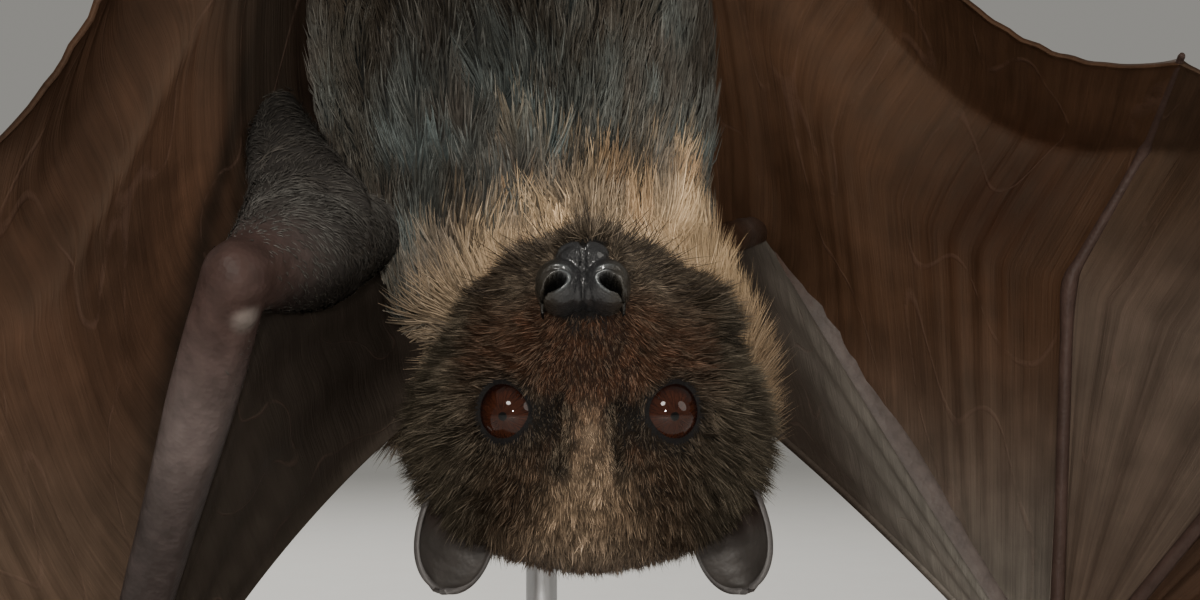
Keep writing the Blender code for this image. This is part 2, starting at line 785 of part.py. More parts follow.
def thigh_shape(side, grow=0.0):
    joints = [mirror_point(HIP, side), mirror_point(KNEE, side)]
    return sweep(tube_rows(joints, THIGH_RADII, 4), Vector((1.0, 0.0, 0.0)), LIMB_SIDES + 2, grow)


def shin_shape(side, grow=0.0):
    joints = [mirror_point(KNEE, side), mirror_point(ANKLE, side)]
    return sweep(tube_rows(joints, SHIN_RADII, 4), Vector((1.0, 0.0, 0.0)), LIMB_SIDES, grow)


def perch_shape(grow=0.0):
    """Cut length of branch, slightly bowed, with a swelling where a twig was."""
    rows = []
    count = 7
    for index in range(count):
        part = 2.0 * index / (count - 1) - 1.0
        knot = PERCH_KNOT[2] * math.exp(-((part - PERCH_KNOT[0]) / PERCH_KNOT[1]) ** 2)
        radius = PERCH_RADIUS * (1.0 - PERCH_TAPER * part + knot)
        rows.append((part * PERCH_HALF_LENGTH, PERCH_Y, PERCH_Z - PERCH_BOW * part ** 2, radius, radius))
    return sweep(rows, Vector((0.0, 1.0, 0.0)), 14, grow, False, False)


def foot_shape(side, grow=0.0):
    """Sole behind the perch, with toes that hook over it and end in claws."""
    ankle = mirror_point(ANKLE, side)
    wrap = PERCH_RADIUS * 1.03 + GAP + TOE_RADIUS + TOE_LIFT

    def round_perch(angle, extra):
        turn = math.radians(angle)
        return (PERCH_Y + (wrap + extra) * math.cos(turn), PERCH_Z + (wrap + extra) * math.sin(turn))

    rows = [(ankle.x, ankle.y, ankle.z, ANKLE_RADIUS, ANKLE_RADIUS)]
    for angle, width, height in SOLE_SECTIONS:
        y, z = round_perch(angle, SOLE_LIFT)
        rows.append((ankle.x, y, z, width, height))
    sole = sweep(rows, Vector((1.0, 0.0, 0.0)), 6, grow)
    toes = []
    for toe in range(TOE_COUNT):
        aside = (toe - 0.5 * (TOE_COUNT - 1)) * TOE_SPREAD
        rows = []
        for angle, size in TOE_SECTIONS:
            y, z = round_perch(angle, 0.0)
            fan = TOE_FAN[0] + (1.0 - TOE_FAN[0]) * min((angle - TOE_FAN[1]) / TOE_FAN[2], 1.0)
            rows.append((ankle.x + aside * fan, y, z, size, size))
        for part in (0.5, 1.0):
            y, z = round_perch(CLAW_START + CLAW_SWEEP * part, CLAW_ARCH * math.sin(math.pi * part))
            size = CLAW_RADIUS * (1.0 - part) + CLAW_TIP
            rows.append((ankle.x + aside, y, z, 0.75 * size, size))
        toes.append(sweep(rows, Vector((1.0, 0.0, 0.0)), FINGER_SIDES, grow, False))
    return combine(sole, toes, "UNION")


def tail_membrane_surface(side):
    """Narrow skin along the inside of the leg, from the rump to the ankle."""
    hip = mirror_point(TAIL_HIP, side)
    rump = mirror_point(TAIL_RUMP, side)
    knee = mirror_point(KNEE, side)
    ankle = mirror_point(ANKLE, side)
    leg = [hip, knee, ankle.lerp(knee, 0.06)]
    edge_middle = knee.lerp(Vector((0.0, knee.y, knee.z)), TAIL_DRAW)
    edge = [rump, edge_middle, ankle.lerp(knee, 0.10)]

    def surface(u, v):
        return curved(leg, v).lerp(curved(edge, v), u)

    return surface


# --------------------------------------------------------------------- stand

def base_shape():
    """Flat board with round corners and eased edges."""
    half_x = 0.5 * BASE_SIZE[0] - BASE_CORNER
    half_y = 0.5 * BASE_SIZE[1] - BASE_CORNER

    def outline(inset, height):
        points = []
        for quarter in range(4):
            corner_x = half_x if quarter in (0, 3) else -half_x
            corner_y = half_y if quarter in (0, 1) else -half_y
            for step in range(5):
                angle = math.radians(90.0 * quarter + 22.5 * step)
                radius = BASE_CORNER - inset
                points.append(Vector((corner_x + radius * math.cos(angle),
                                      corner_y + radius * math.sin(angle), height)))
        return points

    top = BASE_SIZE[2]
    rings = [outline(BASE_EDGE * 0.4, 0.0), outline(0.0, BASE_EDGE * 0.4),
             outline(0.0, top - BASE_EDGE), outline(BASE_EDGE, top)]
    return loft(rings)


def rod_rows(side):
    """Upright rod behind the back, bent forward at its top to the perch."""
    rows = [(side * ROD_X, ROD_Y, BASE_SIZE[2] + GAP, ROD_RADIUS, ROD_RADIUS)]
    centre_y = ROD_Y - ROD_BEND
    centre_z = PERCH_Z - ROD_DROP - ROD_BEND
    for step in range(5):
        angle = math.radians(22.5 * step)
        rows.append((side * ROD_X, centre_y + ROD_BEND * math.cos(angle),
                     centre_z + ROD_BEND * math.sin(angle), ROD_RADIUS, ROD_RADIUS))
    rows.append((side * ROD_X, PERCH_Y + ROD_END_Y, PERCH_Z - ROD_DROP, ROD_RADIUS, ROD_RADIUS))
    return rows


def rod_shape(side, grow=0.0):
    return sweep(rod_rows(side), Vector((1.0, 0.0, 0.0)), 12, grow, False, False)


# --------------------------------------------------------------------- build

def build_stand():
    finish("stand_base", base_shape(), STAND_WOOD)
    finish("perch", perch_shape(), BARK)
    for name, side in SIDE_SIGN.items():
        finish("stand_rod_" + name, cut(rod_shape(side), [perch_shape(GAP)]), STAND_STEEL)


def trunk_shape(grow=0.0):
    return sweep(TRUNK_SECTIONS, Vector((1.0, 0.0, 0.0)), BODY_SIDES, grow, True, False)


def neck_shape(grow=0.0):
    return sweep(NECK_SECTIONS, Vector((1.0, 0.0, 0.0)), BODY_SIDES, grow, False, True)


def build_body():
    finish("trunk", trunk_shape(), BELLY_FUR)
    finish("neck", cut(neck_shape(), [trunk_shape(GAP), head_shape(GAP)]), COLLAR_FUR)
    hollows = [eye_shape(side, GAP) for side in SIDE_SIGN.values()]
    hollows += [socket_shape(side) for side in SIDE_SIGN.values()]
    finish("head", cut(head_shape(), hollows), DARK_FUR)
    finish("nose", cut(nose_shape(), [head_shape(GAP)]), CLAW_HORN)
    for name, side in SIDE_SIGN.items():
        finish("eye_" + name, eye_shape(side), EYE_GLOSS)
        ear = sheet(ear_surface(side), *EAR_GRID, EAR_THICKNESS)
        finish("ear_" + name, cut(ear, [head_shape(GAP)]), EAR_SKIN)


def build_wing(name):
    joints = wing_joints(name)
    body = [trunk_shape, neck_shape, head_shape]

    def grown(shapes):
        return [shape(GAP) for shape in shapes]

    def upper_arm(grow=0.0):
        return upper_arm_shape(joints, name, grow)

    def forearm(grow=0.0):
        return forearm_shape(joints, grow)

    def wrist(grow=0.0):
        return wrist_shape(joints, grow)

    def thumb(grow=0.0):
        return thumb_shape(joints, grow)

    def digit(number):
        return lambda grow=0.0: digit_shape(joints, number, grow)

    finish("upper_arm_" + name, cut(upper_arm(), grown(body)), ARM_SKIN)
    finish("forearm_" + name, cut(forearm(), grown([upper_arm])), ARM_SKIN)
    finish("wrist_" + name, cut(wrist(), grown([forearm])), ARM_SKIN)
    finish("thumb_" + name, cut(thumb(), grown([wrist])), ARM_SKIN)
    finish("thumb_claw_" + name, cut(thumb_claw_shape(joints), grown([thumb])), CLAW_HORN)
    for number in (5, 4, 3, 2):
        inner = [digit(other) for other in (5, 4, 3) if other == number + 1]
        finish("finger_%d_%s" % (number, name), cut(digit(number)(), grown([forearm, wrist, thumb] + inner)),
               ARM_SKIN)
    arm = [upper_arm, forearm, wrist]
    side = SIDE_SIGN[name]
    leg = [lambda grow=0.0: thigh_shape(side, grow), lambda grow=0.0: shin_shape(side, grow),
           lambda grow=0.0: foot_shape(side, grow)]
    wide = sheet(side_membrane_surface(joints, name), *SIDE_GRID, MEMBRANE_THICKNESS)
    finish("side_membrane_" + name, cut(wide, grown(body[:2] + arm + leg + [digit(5)])), WING_SKIN)
    front = sheet(front_membrane_surface(joints, name), *FRONT_GRID, MEMBRANE_THICKNESS)
    finish("front_membrane_" + name, cut(front, grown(body + arm + [thumb])), WING_SKIN)
    for inner, outer, inner_bones, inner_marks, outer_marks, scallop, billow in PANELS:
        surface = finger_membrane_surface(joints[inner][:inner_bones + 1], joints[outer], inner_marks,
                                          outer_marks, scallop, billow)
        grid = PANEL_GRID if inner_bones == 3 else SHORT_PANEL_GRID
        panel = sheet(surface, *grid, MEMBRANE_THICKNESS)
        cutters = grown([forearm, wrist, thumb, digit(inner), digit(outer)])
        finish("finger_membrane_%d%d_%s" % (outer, inner, name), cut(panel, cutters), WING_SKIN)


def build_leg(name):
    side = SIDE_SIGN[name]
    finish("thigh_" + name, cut(thigh_shape(side), [trunk_shape(GAP)]), BELLY_FUR)
    finish("shin_" + name, cut(shin_shape(side), [thigh_shape(side, GAP)]), ARM_SKIN)
    finish("foot_" + name, cut(foot_shape(side), [shin_shape(side, GAP), perch_shape(GAP)]), ARM_SKIN)
    narrow = sheet(tail_membrane_surface(side), *TAIL_GRID, MEMBRANE_THICKNESS)
    cutters = [trunk_shape(GAP), thigh_shape(side, GAP), shin_shape(side, GAP)]
    finish("tail_membrane_" + name, cut(narrow, cutters), WING_SKIN)


def main():
    clear_scene()
    build_stand()
    build_body()
    for name in SIDE_SIGN:
        build_wing(name)
        build_leg(name)


main()
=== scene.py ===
import math

import bmesh
import bpy
import numpy as np
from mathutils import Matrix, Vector


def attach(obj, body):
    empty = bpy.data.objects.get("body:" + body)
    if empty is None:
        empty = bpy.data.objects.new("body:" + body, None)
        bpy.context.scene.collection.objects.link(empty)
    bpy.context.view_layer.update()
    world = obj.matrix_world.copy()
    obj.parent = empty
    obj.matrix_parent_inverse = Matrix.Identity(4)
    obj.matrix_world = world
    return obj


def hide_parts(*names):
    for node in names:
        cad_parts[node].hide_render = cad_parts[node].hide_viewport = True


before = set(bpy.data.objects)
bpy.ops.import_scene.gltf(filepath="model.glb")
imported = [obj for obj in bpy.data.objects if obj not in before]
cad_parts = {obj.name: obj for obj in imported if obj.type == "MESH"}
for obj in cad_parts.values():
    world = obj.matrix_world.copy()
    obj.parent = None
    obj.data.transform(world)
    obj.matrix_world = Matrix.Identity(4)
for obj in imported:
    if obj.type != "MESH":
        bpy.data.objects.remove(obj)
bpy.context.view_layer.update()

# All sizes below are in millimetres; make_piece() writes meshes in metres.
MM = 0.001
SIDES = {"left": -1.0, "right": 1.0}

GRAIN = {"head": 0.55, "nose": 0.24, "body": 1.6, "arm": 0.86, "foot": 0.5}
HAIRS = {"head": 120000, "body": 72000, "left": 9500, "right": 2000, "whiskers": 190}
WIDER = 1.0

# ------------------------------------------------------------------ the bat's measures

# The head hangs upside down: MUZZLE runs along the nose, CROWN to the top of the head, ASIDE to the right
HEAD_CENTRE = np.array((-13.5, -61.6, 178.2))
HEAD_TURN = math.radians(28.0)
HEAD_PITCH = math.radians(33.0)
TOWARD = np.array((-math.sin(HEAD_TURN), -math.cos(HEAD_TURN), 0.0))
UP = np.array((0.0, 0.0, 1.0))
MUZZLE = TOWARD * math.cos(HEAD_PITCH) + UP * math.sin(HEAD_PITCH)
CROWN = TOWARD * math.sin(HEAD_PITCH) - UP * math.cos(HEAD_PITCH)
ASIDE = np.array((math.cos(HEAD_TURN), -math.sin(HEAD_TURN), 0.0))
HEAD_AXES = (MUZZLE, ASIDE, CROWN)
RIGHTWARD = np.array((1.0, 0.0, 0.0))
BACKWARD = np.array((0.0, 1.0, 0.0))

EYE_RADIUS = 6.25
EYE_PLACE = (12.0, 13.8, 6.2)

# Skin sections of the head: (along muzzle, above axis, half width, half height, coat depth)
HEAD_SECTIONS = (
    (-31.0, -1.0, 13.0, 11.0, 4.0),
    (-27.0, -0.5, 23.0, 19.0, 4.0),
    (-20.0, 0.0, 32.5, 25.8, 4.0),
    (-11.0, -0.5, 36.8, 29.5, 4.0),
    (-3.0, -2.5, 36.0, 30.0, 4.0),
    (4.0, -5.0, 32.5, 28.0, 3.9),
    (10.0, -7.5, 27.5, 24.2, 3.7),
    (16.0, -9.5, 22.5, 20.5, 3.4),
    (22.0, -11.0, 17.5, 17.0, 2.9),
    (27.0, -12.0, 13.2, 13.8, 2.3),
    (30.5, -12.3, 9.2, 9.6, 1.5),
)
# Lower jaw: (along muzzle, above axis, half width, half height)
JAW_SECTIONS = ((4.0, -16.5, 9.0, 5.5), (14.0, -18.0, 7.4, 4.6), (22.0, -18.8, 5.8, 3.8),
                (27.5, -18.4, 4.4, 3.0))
# Pads on each side of the head: (ahead, aside, shift to its left or right, above, radius, stretch)
HEAD_PADS = (
    (6.0, 13.0, 0.0, 7.0, 6.5, (1.5, 1.0, 0.9)),        # brow and cheek bone beside the eye
    (23.5, 5.2, 0.0, -14.0, 5.6, (1.25, 1.0, 1.15)),    # upper lip
    (-12.0, 23.5, 0.0, 9.5, 6.5, (1.1, 0.8, 1.0)),      # root of the ear
    (2.0, 13.5, 1.2, -16.0, 11.5, (1.3, 1.0, 1.0)),     # jowl
    (14.0, 8.5, 0.0, -16.5, 8.8, (1.3, 1.0, 1.0)),      # side of the muzzle
)
MOUTH_ABOVE = -18.4
EAR_HALF_WIDTH = 8.2
EAR_LENGTH = 21.4

# Trunk and neck from rump to skull: (x, y, z, half width, half depth, coat depth)
BODY_SECTIONS = (
    (0.0, 12.0, 350.0, 17.0, 12.0, 3.5),
    (0.0, 9.0, 341.0, 29.0, 20.0, 4.0),
    (0.0, 6.0, 322.0, 38.0, 27.0, 4.5),
    (0.0, 3.0, 298.0, 44.0, 31.5, 5.0),
    (0.0, 1.0, 270.0, 48.5, 34.5, 5.0),
    (0.0, 0.0, 243.0, 50.5, 36.0, 5.0),
    (0.0, -1.0, 218.0, 49.0, 36.0, 5.5),
    (1.0, -7.0, 199.0, 48.5, 35.0, 6.0),
    (3.5, -17.0, 188.0, 46.5, 34.0, 6.0),
    (2.0, -28.0, 180.0, 42.0, 32.5, 6.0),
    (-3.0, -40.0, 174.0, 34.0, 29.0, 6.0),
    (-6.5, -49.0, 172.0, 24.0, 20.0, 5.0),
)
HIP = (15.0, 9.0, 334.0)
KNEE = (37.0, 14.0, 381.0)
ANKLE = (21.0, 18.0, 436.0)
THIGH_RADII = (11.5, 9.5, 6.8)
SHIN_RADII = (5.8, 6.0, 4.3, 4.0, 4.1)
# Each wing's arm, fingers and thumb as bones: (length, angle outwards from the front, rise)
WINGS = {
    "left": {
        "shoulder": (27.0, 0.0, 216.0),
        "arm": ((92.0, 40.0, -7.5), (140.0, 174.0, -57.0)),
        5: ((104.0, 135.0, 60.0), (36.0, 140.0, 70.0), (32.0, 130.0, 75.0)),
        4: ((100.0, 118.0, 38.0), (58.0, 105.0, 45.0), (52.0, 92.0, 50.0)),
        3: ((98.0, 108.0, 15.0), (70.0, 95.0, 18.0), (86.0, 82.0, 22.0)),
        2: ((46.0, 98.0, -2.0), (20.0, 93.0, -4.0)),
        "thumb": ((26.0, 20.0, -28.0), (20.0, 0.0, -40.0)),
        "trail_pull": 1.22,
        "neck_point": (30.0, -34.0, 181.0),
        "lead_sag": 0.20,
    },
    "right": {
        "shoulder": (27.0, 0.0, 206.0),
        "arm": ((92.0, 128.0, 8.0), (140.0, 32.0, -56.0)),
        5: ((102.0, 0.0, 87.0), (36.0, 46.0, 60.0), (32.0, -24.0, 37.0)),
        4: ((100.0, 33.0, 52.0), (58.0, 12.0, 50.0), (52.0, -12.0, 48.0)),
        3: ((98.0, 46.0, 26.0), (70.0, 24.0, 24.0), (86.0, 2.0, 22.0)),
        2: ((46.0, 54.0, 8.0), (20.0, 48.0, 4.0)),
        "thumb": ((26.0, -20.0, -30.0), (20.0, -30.0, -45.0)),
        "trail_pull": 0.75,
        "neck_point": (34.0, -24.0, 184.0),
        "lead_sag": 0.07,
    },
}
# Shares of a skin's depth or width at which a finger's or the arm's joints lie
FINGER_MARKS = (0.5, 0.75, 1.0)
ARM_MARKS = (0.4, 1.0)
ARM_FOLD = 2.4
SIDE_BILLOW = 9.0

PERCH_Z = 461.0
PERCH_RADIUS = 12.5
PERCH_HALF_LENGTH = 104.0
PERCH_SAG = 3.0
ROD_X = 45.0
ROD_Y = 76.0
ROD_BEND = 22.0
ROD_RADIUS = 4.0
# Turned collar of a rod: (height above the board, radius)
ROD_COLLAR = ((0.0, 7.4), (0.6, 7.9), (1.2, 8.0), (4.4, 8.0), (5.0, 7.6), (5.4, 6.8))
BASE_TOP = 18.0
BASE_WIDTH = 320.0
BASE_DEPTH = 220.0


# ------------------------------------------------------------------ shader tools

class Wire:
    """An output socket that Python's operators can calculate with."""

    def __init__(self, look, socket):
        self.look = look
        self.socket = socket

    def math(self, operation, first, second):
        return self.look.node("ShaderNodeMath", {"operation": operation}, {0: first, 1: second}).out()

    def __add__(self, other):
        return self.math("ADD", self, other)

    def __radd__(self, other):
        return self.math("ADD", other, self)

    def __sub__(self, other):
        return self.math("SUBTRACT", self, other)

    def __rsub__(self, other):
        return self.math("SUBTRACT", other, self)

    def __mul__(self, other):
        return self.math("MULTIPLY", self, other)

    def __rmul__(self, other):
        return self.math("MULTIPLY", other, self)

    def clamp(self):
        return self.look.node("ShaderNodeClamp", {}, {"Value": self}).out()

    def ramp(self, low, high):
        """0 below low, 1 above high, smooth between."""
        settings = {"interpolation_type": "SMOOTHSTEP"}
        return self.look.node("ShaderNodeMapRange", settings, {"Value": self, "From Min": low,
                                                               "From Max": high}).out()


class Node:
    """A shader node whose outputs can be asked for by name or number."""

    def __init__(self, look, made):
        self.look = look
        self.made = made

    def out(self, name=0):
        return Wire(self.look, self.made.outputs[name])


class Look:
    """A procedural material, built up node by node."""

    def __init__(self, name, **constants):
        self.material = bpy.data.materials.new(name)
        self.material.use_nodes = True
        self.tree = self.material.node_tree
        self.shader = self.tree.nodes["Principled BSDF"]
        for key, value in constants.items():
            self.shader.inputs[key.replace("_", " ")].default_value = value

    def node(self, kind, settings, inputs):
        made = self.tree.nodes.new(kind)
        for key, value in settings.items():
            setattr(made, key, value)
        for key, value in inputs.items():
            self.feed(made.inputs[key], value)
        return Node(self, made)

    def feed(self, socket, value):
        if isinstance(value, Wire):
            self.tree.links.new(value.socket, socket)
        elif socket.type == "RGBA" and len(value) == 3:
            socket.default_value = (*value, 1.0)
        else:
            socket.default_value = value

    def place(self):
        return self.node("ShaderNodeTexCoord", {}, {}).out("Object")

    def attribute(self, name, output="Fac"):
        return self.node("ShaderNodeAttribute", {"attribute_name": name}, {}).out(output)

    def vector(self, x, y, z=0.0):
        return self.node("ShaderNodeCombineXYZ", {}, {0: x, 1: y, 2: z}).out()

    def stretched(self, vector, scale):
        return self.node("ShaderNodeMapping", {}, {"Vector": vector, "Scale": scale}).out()

    def noise(self, vector, scale, detail=3.0, roughness=0.55):
        return self.node("ShaderNodeTexNoise", {}, {"Vector": vector, "Scale": scale, "Detail": detail,
                                                    "Roughness": roughness}).out("Fac")

    def cells(self, vector, scale):
        return self.node("ShaderNodeTexVoronoi", {"feature": "F1"},
                         {"Vector": vector, "Scale": scale}).out("Distance")

    def mix(self, factor, first, second):
        mixer = self.node("ShaderNodeMix", {"data_type": "RGBA"}, {0: factor, 6: first, 7: second})
        return mixer.out(2)

    def toned(self, grey):
        """The piece's own colours, made lighter or darker by a grey tone."""
        tint = self.node("ShaderNodeCombineColor", {}, {0: grey, 1: grey, 2: grey}).out()
        shade = self.node("ShaderNodeMix", {"data_type": "RGBA", "blend_type": "MULTIPLY"},
                          {0: 1.0, 6: self.attribute("coat", "Color"), 7: tint})
        return shade.out(2)

    def paint(self, colour, roughness=None, height=None, relief=0.5, reach=0.001):
        self.feed(self.shader.inputs["Base Color"], colour)
        if roughness is not None:
            self.feed(self.shader.inputs["Roughness"], roughness)
        if height is not None:
            bump = self.node("ShaderNodeBump", {}, {"Height": height, "Strength": relief, "Distance": reach})
            self.feed(self.shader.inputs["Normal"], bump.out())
        return self.material


# ------------------------------------------------------------------ mesh tools

def make_piece(name, vertices, faces, look, slot, smooth=True, colours=None, fields=None, uvs=None):
    """Object from millimetre vertices; colours and fields are per vertex, uvs is per corner."""
    data = bpy.data.meshes.new(name)
    vertices = np.asarray(vertices, dtype=np.float64) * MM
    if isinstance(faces, np.ndarray):
        count = len(faces)
        width = faces.shape[1]
        data.vertices.add(len(vertices))
        data.vertices.foreach_set("co", vertices.astype(np.float32).ravel())
        data.loops.add(count * width)
        data.loops.foreach_set("vertex_index", faces.astype(np.int32).ravel())
        data.polygons.add(count)
        data.polygons.foreach_set("loop_start", np.arange(0, count * width, width, dtype=np.int32))
        data.update(calc_edges=True)
    else:
        data.from_pydata([tuple(v) for v in vertices], [], faces)
        data.update()
    add_fields(data, colours, fields)
    if uvs is not None:
        layer = data.uv_layers.new(name="OFBake")
        layer.data.foreach_set("uv", np.asarray(uvs, dtype=np.float32).ravel())
    data.polygons.foreach_set("use_smooth", np.full(len(data.polygons), smooth))
    piece = bpy.data.objects.new(name, data)
    bpy.context.scene.collection.objects.link(piece)
    settle(piece, look)
    return piece


def add_fields(data, colours, fields):
    """Writes colours and named numbers on the vertices."""
    if colours is not None:
        layer = data.color_attributes.new("coat", "FLOAT_COLOR", "POINT")
        filled = np.ones((len(colours), 4), dtype=np.float32)
        filled[:, :3] = colours
        layer.data.foreach_set("color", filled.ravel())
    for key, values in (fields or {}).items():
        layer = data.attributes.new(key, "FLOAT", "POINT")
        layer.data.foreach_set("value", np.asarray(values, dtype=np.float32))


def settle(piece, look):
    """Gives a piece its material and its body."""
    piece.data.materials.clear()
    piece.data.materials.append(look)
    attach(piece, "root")


def through_rows(table, spots):
    """Smooth curve through the rows of a table, read at spots from 0 to the last row's number."""
    last = len(table) - 1
    index = np.minimum(spots.astype(int), last - 1)
    part = (spots - index)[:, None]
    a = table[np.maximum(index - 1, 0)]
    b = table[index]
    c = table[index + 1]
    d = table[np.minimum(index + 2, last)]
    return 0.5 * (2.0 * b + (c - a) * part + (2.0 * a - 5.0 * b + 4.0 * c - d) * part ** 2
                  + (3.0 * b - a - 3.0 * c + d) * part ** 3)


def smooth_rows(rows, count):
    """Rows of numbers read from a smooth curve through the given rows."""
    table = np.asarray(rows, dtype=float)
    return through_rows(table, np.linspace(0.0, len(table) - 1, count))


def smooth_radii(radii, count):
    """Radii read from a smooth curve through the given ones."""
    return smooth_rows([(radius,) for radius in radii], count)[:, 0]


def unit(vectors):
    """Vectors brought to length 1."""
    return vectors / np.maximum(np.linalg.norm(vectors, axis=-1, keepdims=True), 1e-9)


def grid_faces(rows, columns, closed):
    """Quads between rows of points; closed joins the last column to the first."""
    across = columns if closed else columns - 1
    j, i = np.meshgrid(np.arange(rows - 1), np.arange(across), indexing="ij")
    after = (i + 1) % columns
    quads = np.stack((j * columns + i, j * columns + after, (j + 1) * columns + after,
                      (j + 1) * columns + i), axis=-1)
    return quads.reshape(-1, 4)


def tube(centres, across, wide, high, sides, ends=5):
    """Closed tube with round ends; returns vertices, and quads with one polygon on each end."""
    centres = np.asarray(centres, dtype=float)
    wide = np.asarray(wide, dtype=float)
    high = np.asarray(high, dtype=float)
    along = unit(np.gradient(centres, axis=0))
    angles = np.linspace(0.0, 1.0, ends, endpoint=False)[1:] * math.pi / 2.0
    reach = min(wide[0], high[0])
    rows = [(centres[0] - along[0] * reach * math.cos(angle), along[0], wide[0] * math.sin(angle),
             high[0] * math.sin(angle)) for angle in angles]
    rows += list(zip(centres, along, wide, high))
    reach = min(wide[-1], high[-1])
    rows += [(centres[-1] + along[-1] * reach * math.sin(angle), along[-1], wide[-1] * math.cos(angle),
              high[-1] * math.cos(angle)) for angle in angles]
    turn = np.linspace(0.0, 2.0 * math.pi, sides, endpoint=False)
    vertices = []
    for centre, direction, half_wide, half_high in rows:
        side = unit(across - direction * np.dot(across, direction))
        up = np.cross(direction, side)
        vertices.append(centre + np.outer(np.cos(turn) * half_wide, side)
                        + np.outer(np.sin(turn) * half_high, up))
    vertices = np.concatenate(vertices)
    faces = [tuple(face) for face in grid_faces(len(rows), sides, True)]
    first = tuple(range(sides - 1, -1, -1))
    last = tuple(range(len(vertices) - sides, len(vertices)))
    return vertices, faces + [first, last]


def limb(start, stop, across, radii, count, sides, wide=1.0, high=1.0):
    """Tapered tube between two joints; wide and high stretch its section."""
    size = smooth_radii(radii, count)
    line = start + (stop - start) * np.linspace(0.0, 1.0, count)[:, None]
    return tube(line, across, size * wide, size * high, sides)


def join_shells(shells):
    """One vertex list and one face list from several."""
    vertices = []
    faces = []
    base = 0
    for points, corners in shells:
        vertices.append(np.asarray(points))
        faces += [tuple(int(index) + base for index in face) for face in corners]
        base += len(points)
    return np.concatenate(vertices), faces


def ball(centre, radius, squash=(1.0, 1.0, 1.0), axes=None, segments=24):
    """Closed sphere or ellipsoid, its half sizes along the given axes."""
    mesh = bmesh.new()
    bmesh.ops.create_uvsphere(mesh, u_segments=segments, v_segments=segments // 2, radius=radius)
    points = np.array([tuple(vert.co) for vert in mesh.verts]) * np.array(squash)
    faces = [tuple(vert.index for vert in face.verts) for face in mesh.faces]
    mesh.free()
    if axes is not None:
        points = points @ np.array(axes)
    return points + centre, faces


def remeshed(name, shells, voxel, smoothing):
    """Shells melted into one closed skin with even faces."""
    vertices, faces = join_shells(shells)
    data = bpy.data.meshes.new(name)
    data.from_pydata([tuple(v) for v in vertices], [], faces)
    data.update()
    piece = bpy.data.objects.new(name, data)
    bpy.context.scene.collection.objects.link(piece)
    bpy.ops.object.select_all(action="DESELECT")
    piece.select_set(True)
    bpy.context.view_layer.objects.active = piece
    melt = piece.modifiers.new("melt", "REMESH")
    melt.mode = "VOXEL"
    melt.voxel_size = voxel
    bpy.ops.object.modifier_apply(modifier=melt.name)
    if smoothing:
        ease = piece.modifiers.new("ease", "SMOOTH")
        ease.factor = 0.5
        ease.iterations = smoothing
        bpy.ops.object.modifier_apply(modifier=ease.name)
    return piece


def vectors_of(data, key):
    values = np.empty(len(data.vertices) * 3, dtype=np.float32)
    data.vertices.foreach_get(key, values)
    return values.reshape(-1, 3).astype(float)


def points_of(data):
    return vectors_of(data, "co")


def normals_of(data):
    return vectors_of(data, "normal")


def put_points(data, points):
    """Writes a mesh's vertices."""
    data.vertices.foreach_set("co", np.asarray(points, dtype=np.float32).ravel())
    data.update()


def smoothstep(low, high, values):
    """0 below low, 1 above high, smooth between; also runs downwards if low is the higher."""
    part = np.clip((values - low) / (high - low), 0.0, 1.0)
    return part * part * (3.0 - 2.0 * part)


def distance(points, place):
    return np.linalg.norm(points - place, axis=1)


def segment_distance(points, start, stop):
    """Distance of points from the line between two places."""
    way = stop - start
    part = np.clip((points - start) @ way / np.dot(way, way), 0.0, 1.0)
    return np.linalg.norm(points - start - np.outer(part, way), axis=1)


def bump_of(values, centre, width):
    """Bell of height 1 and the given width about the centre."""
    return np.exp(-((values - centre) / width) ** 2)


# Large odd numbers that scramble a cell's place into an even spread of values
SCRAMBLE = (73856093, 19349663, 83492791)
SEED_SCRAMBLE = 2654435761
LAST_SCRAMBLE = 1274126177


def lattice_noise(points, size, seed):
    """Smooth noise from 0 to 1 in space, with cells of the given size."""
    cell = points / size
    base = np.floor(cell).astype(np.int64)
    part = cell - base
    part = part * part * (3.0 - 2.0 * part)
    total = np.zeros(len(points))
    for corner in range(8):
        offset = np.array((corner & 1, (corner >> 1) & 1, (corner >> 2) & 1))
        x, y, z = ((base + offset) * SCRAMBLE).T
        key = x ^ y ^ z ^ (seed * SEED_SCRAMBLE)
        key = (key ^ (key >> 13)) * LAST_SCRAMBLE
        value = ((key ^ (key >> 16)) & 0xFFFF) / 65535.0
        weight = np.prod(np.where(offset == 1, part, 1.0 - part), axis=1)
        total += weight * value
    return total


# ------------------------------------------------------------------ skeleton and surfaces

def head_point(ahead, aside, above):
    """Place in the head's own axes."""
    return HEAD_CENTRE + MUZZLE * ahead + ASIDE * aside + CROWN * above


def head_way(ahead, aside, above):
    """Unit direction in the head's own axes."""
    return unit(MUZZLE * ahead + ASIDE * aside + CROWN * above)


def head_local(points):
    """Distances ahead, aside and above in the head's own axes."""
    away = points - HEAD_CENTRE
    return away @ MUZZLE, away @ ASIDE, away @ CROWN


def mirror_point(point, side):
    """A right-hand point, or its mirror image on the left."""
    return np.array((side * point[0], point[1], point[2]))


def chain(start, side, bones):
    """Joints of a row of bones."""
    joints = [start]
    for length, azimuth, rise in bones:
        turn = math.radians(azimuth)
        lift = math.radians(rise)
        way = np.array((side * math.sin(turn) * math.cos(lift), -math.cos(turn) * math.cos(lift),
                        math.sin(lift)))
        joints.append(joints[-1] + way * length)
    return joints


def wing_joints(name):
    """Joints of one wing's arm, fingers and thumb."""
    plan = WINGS[name]
    side = SIDES[name]
    arm = chain(mirror_point(plan["shoulder"], side), side, plan["arm"])
    joints = {"arm": arm}
    for key in (2, 3, 4, 5, "thumb"):
        joints[key] = chain(arm[2], side, plan[key])
    return joints


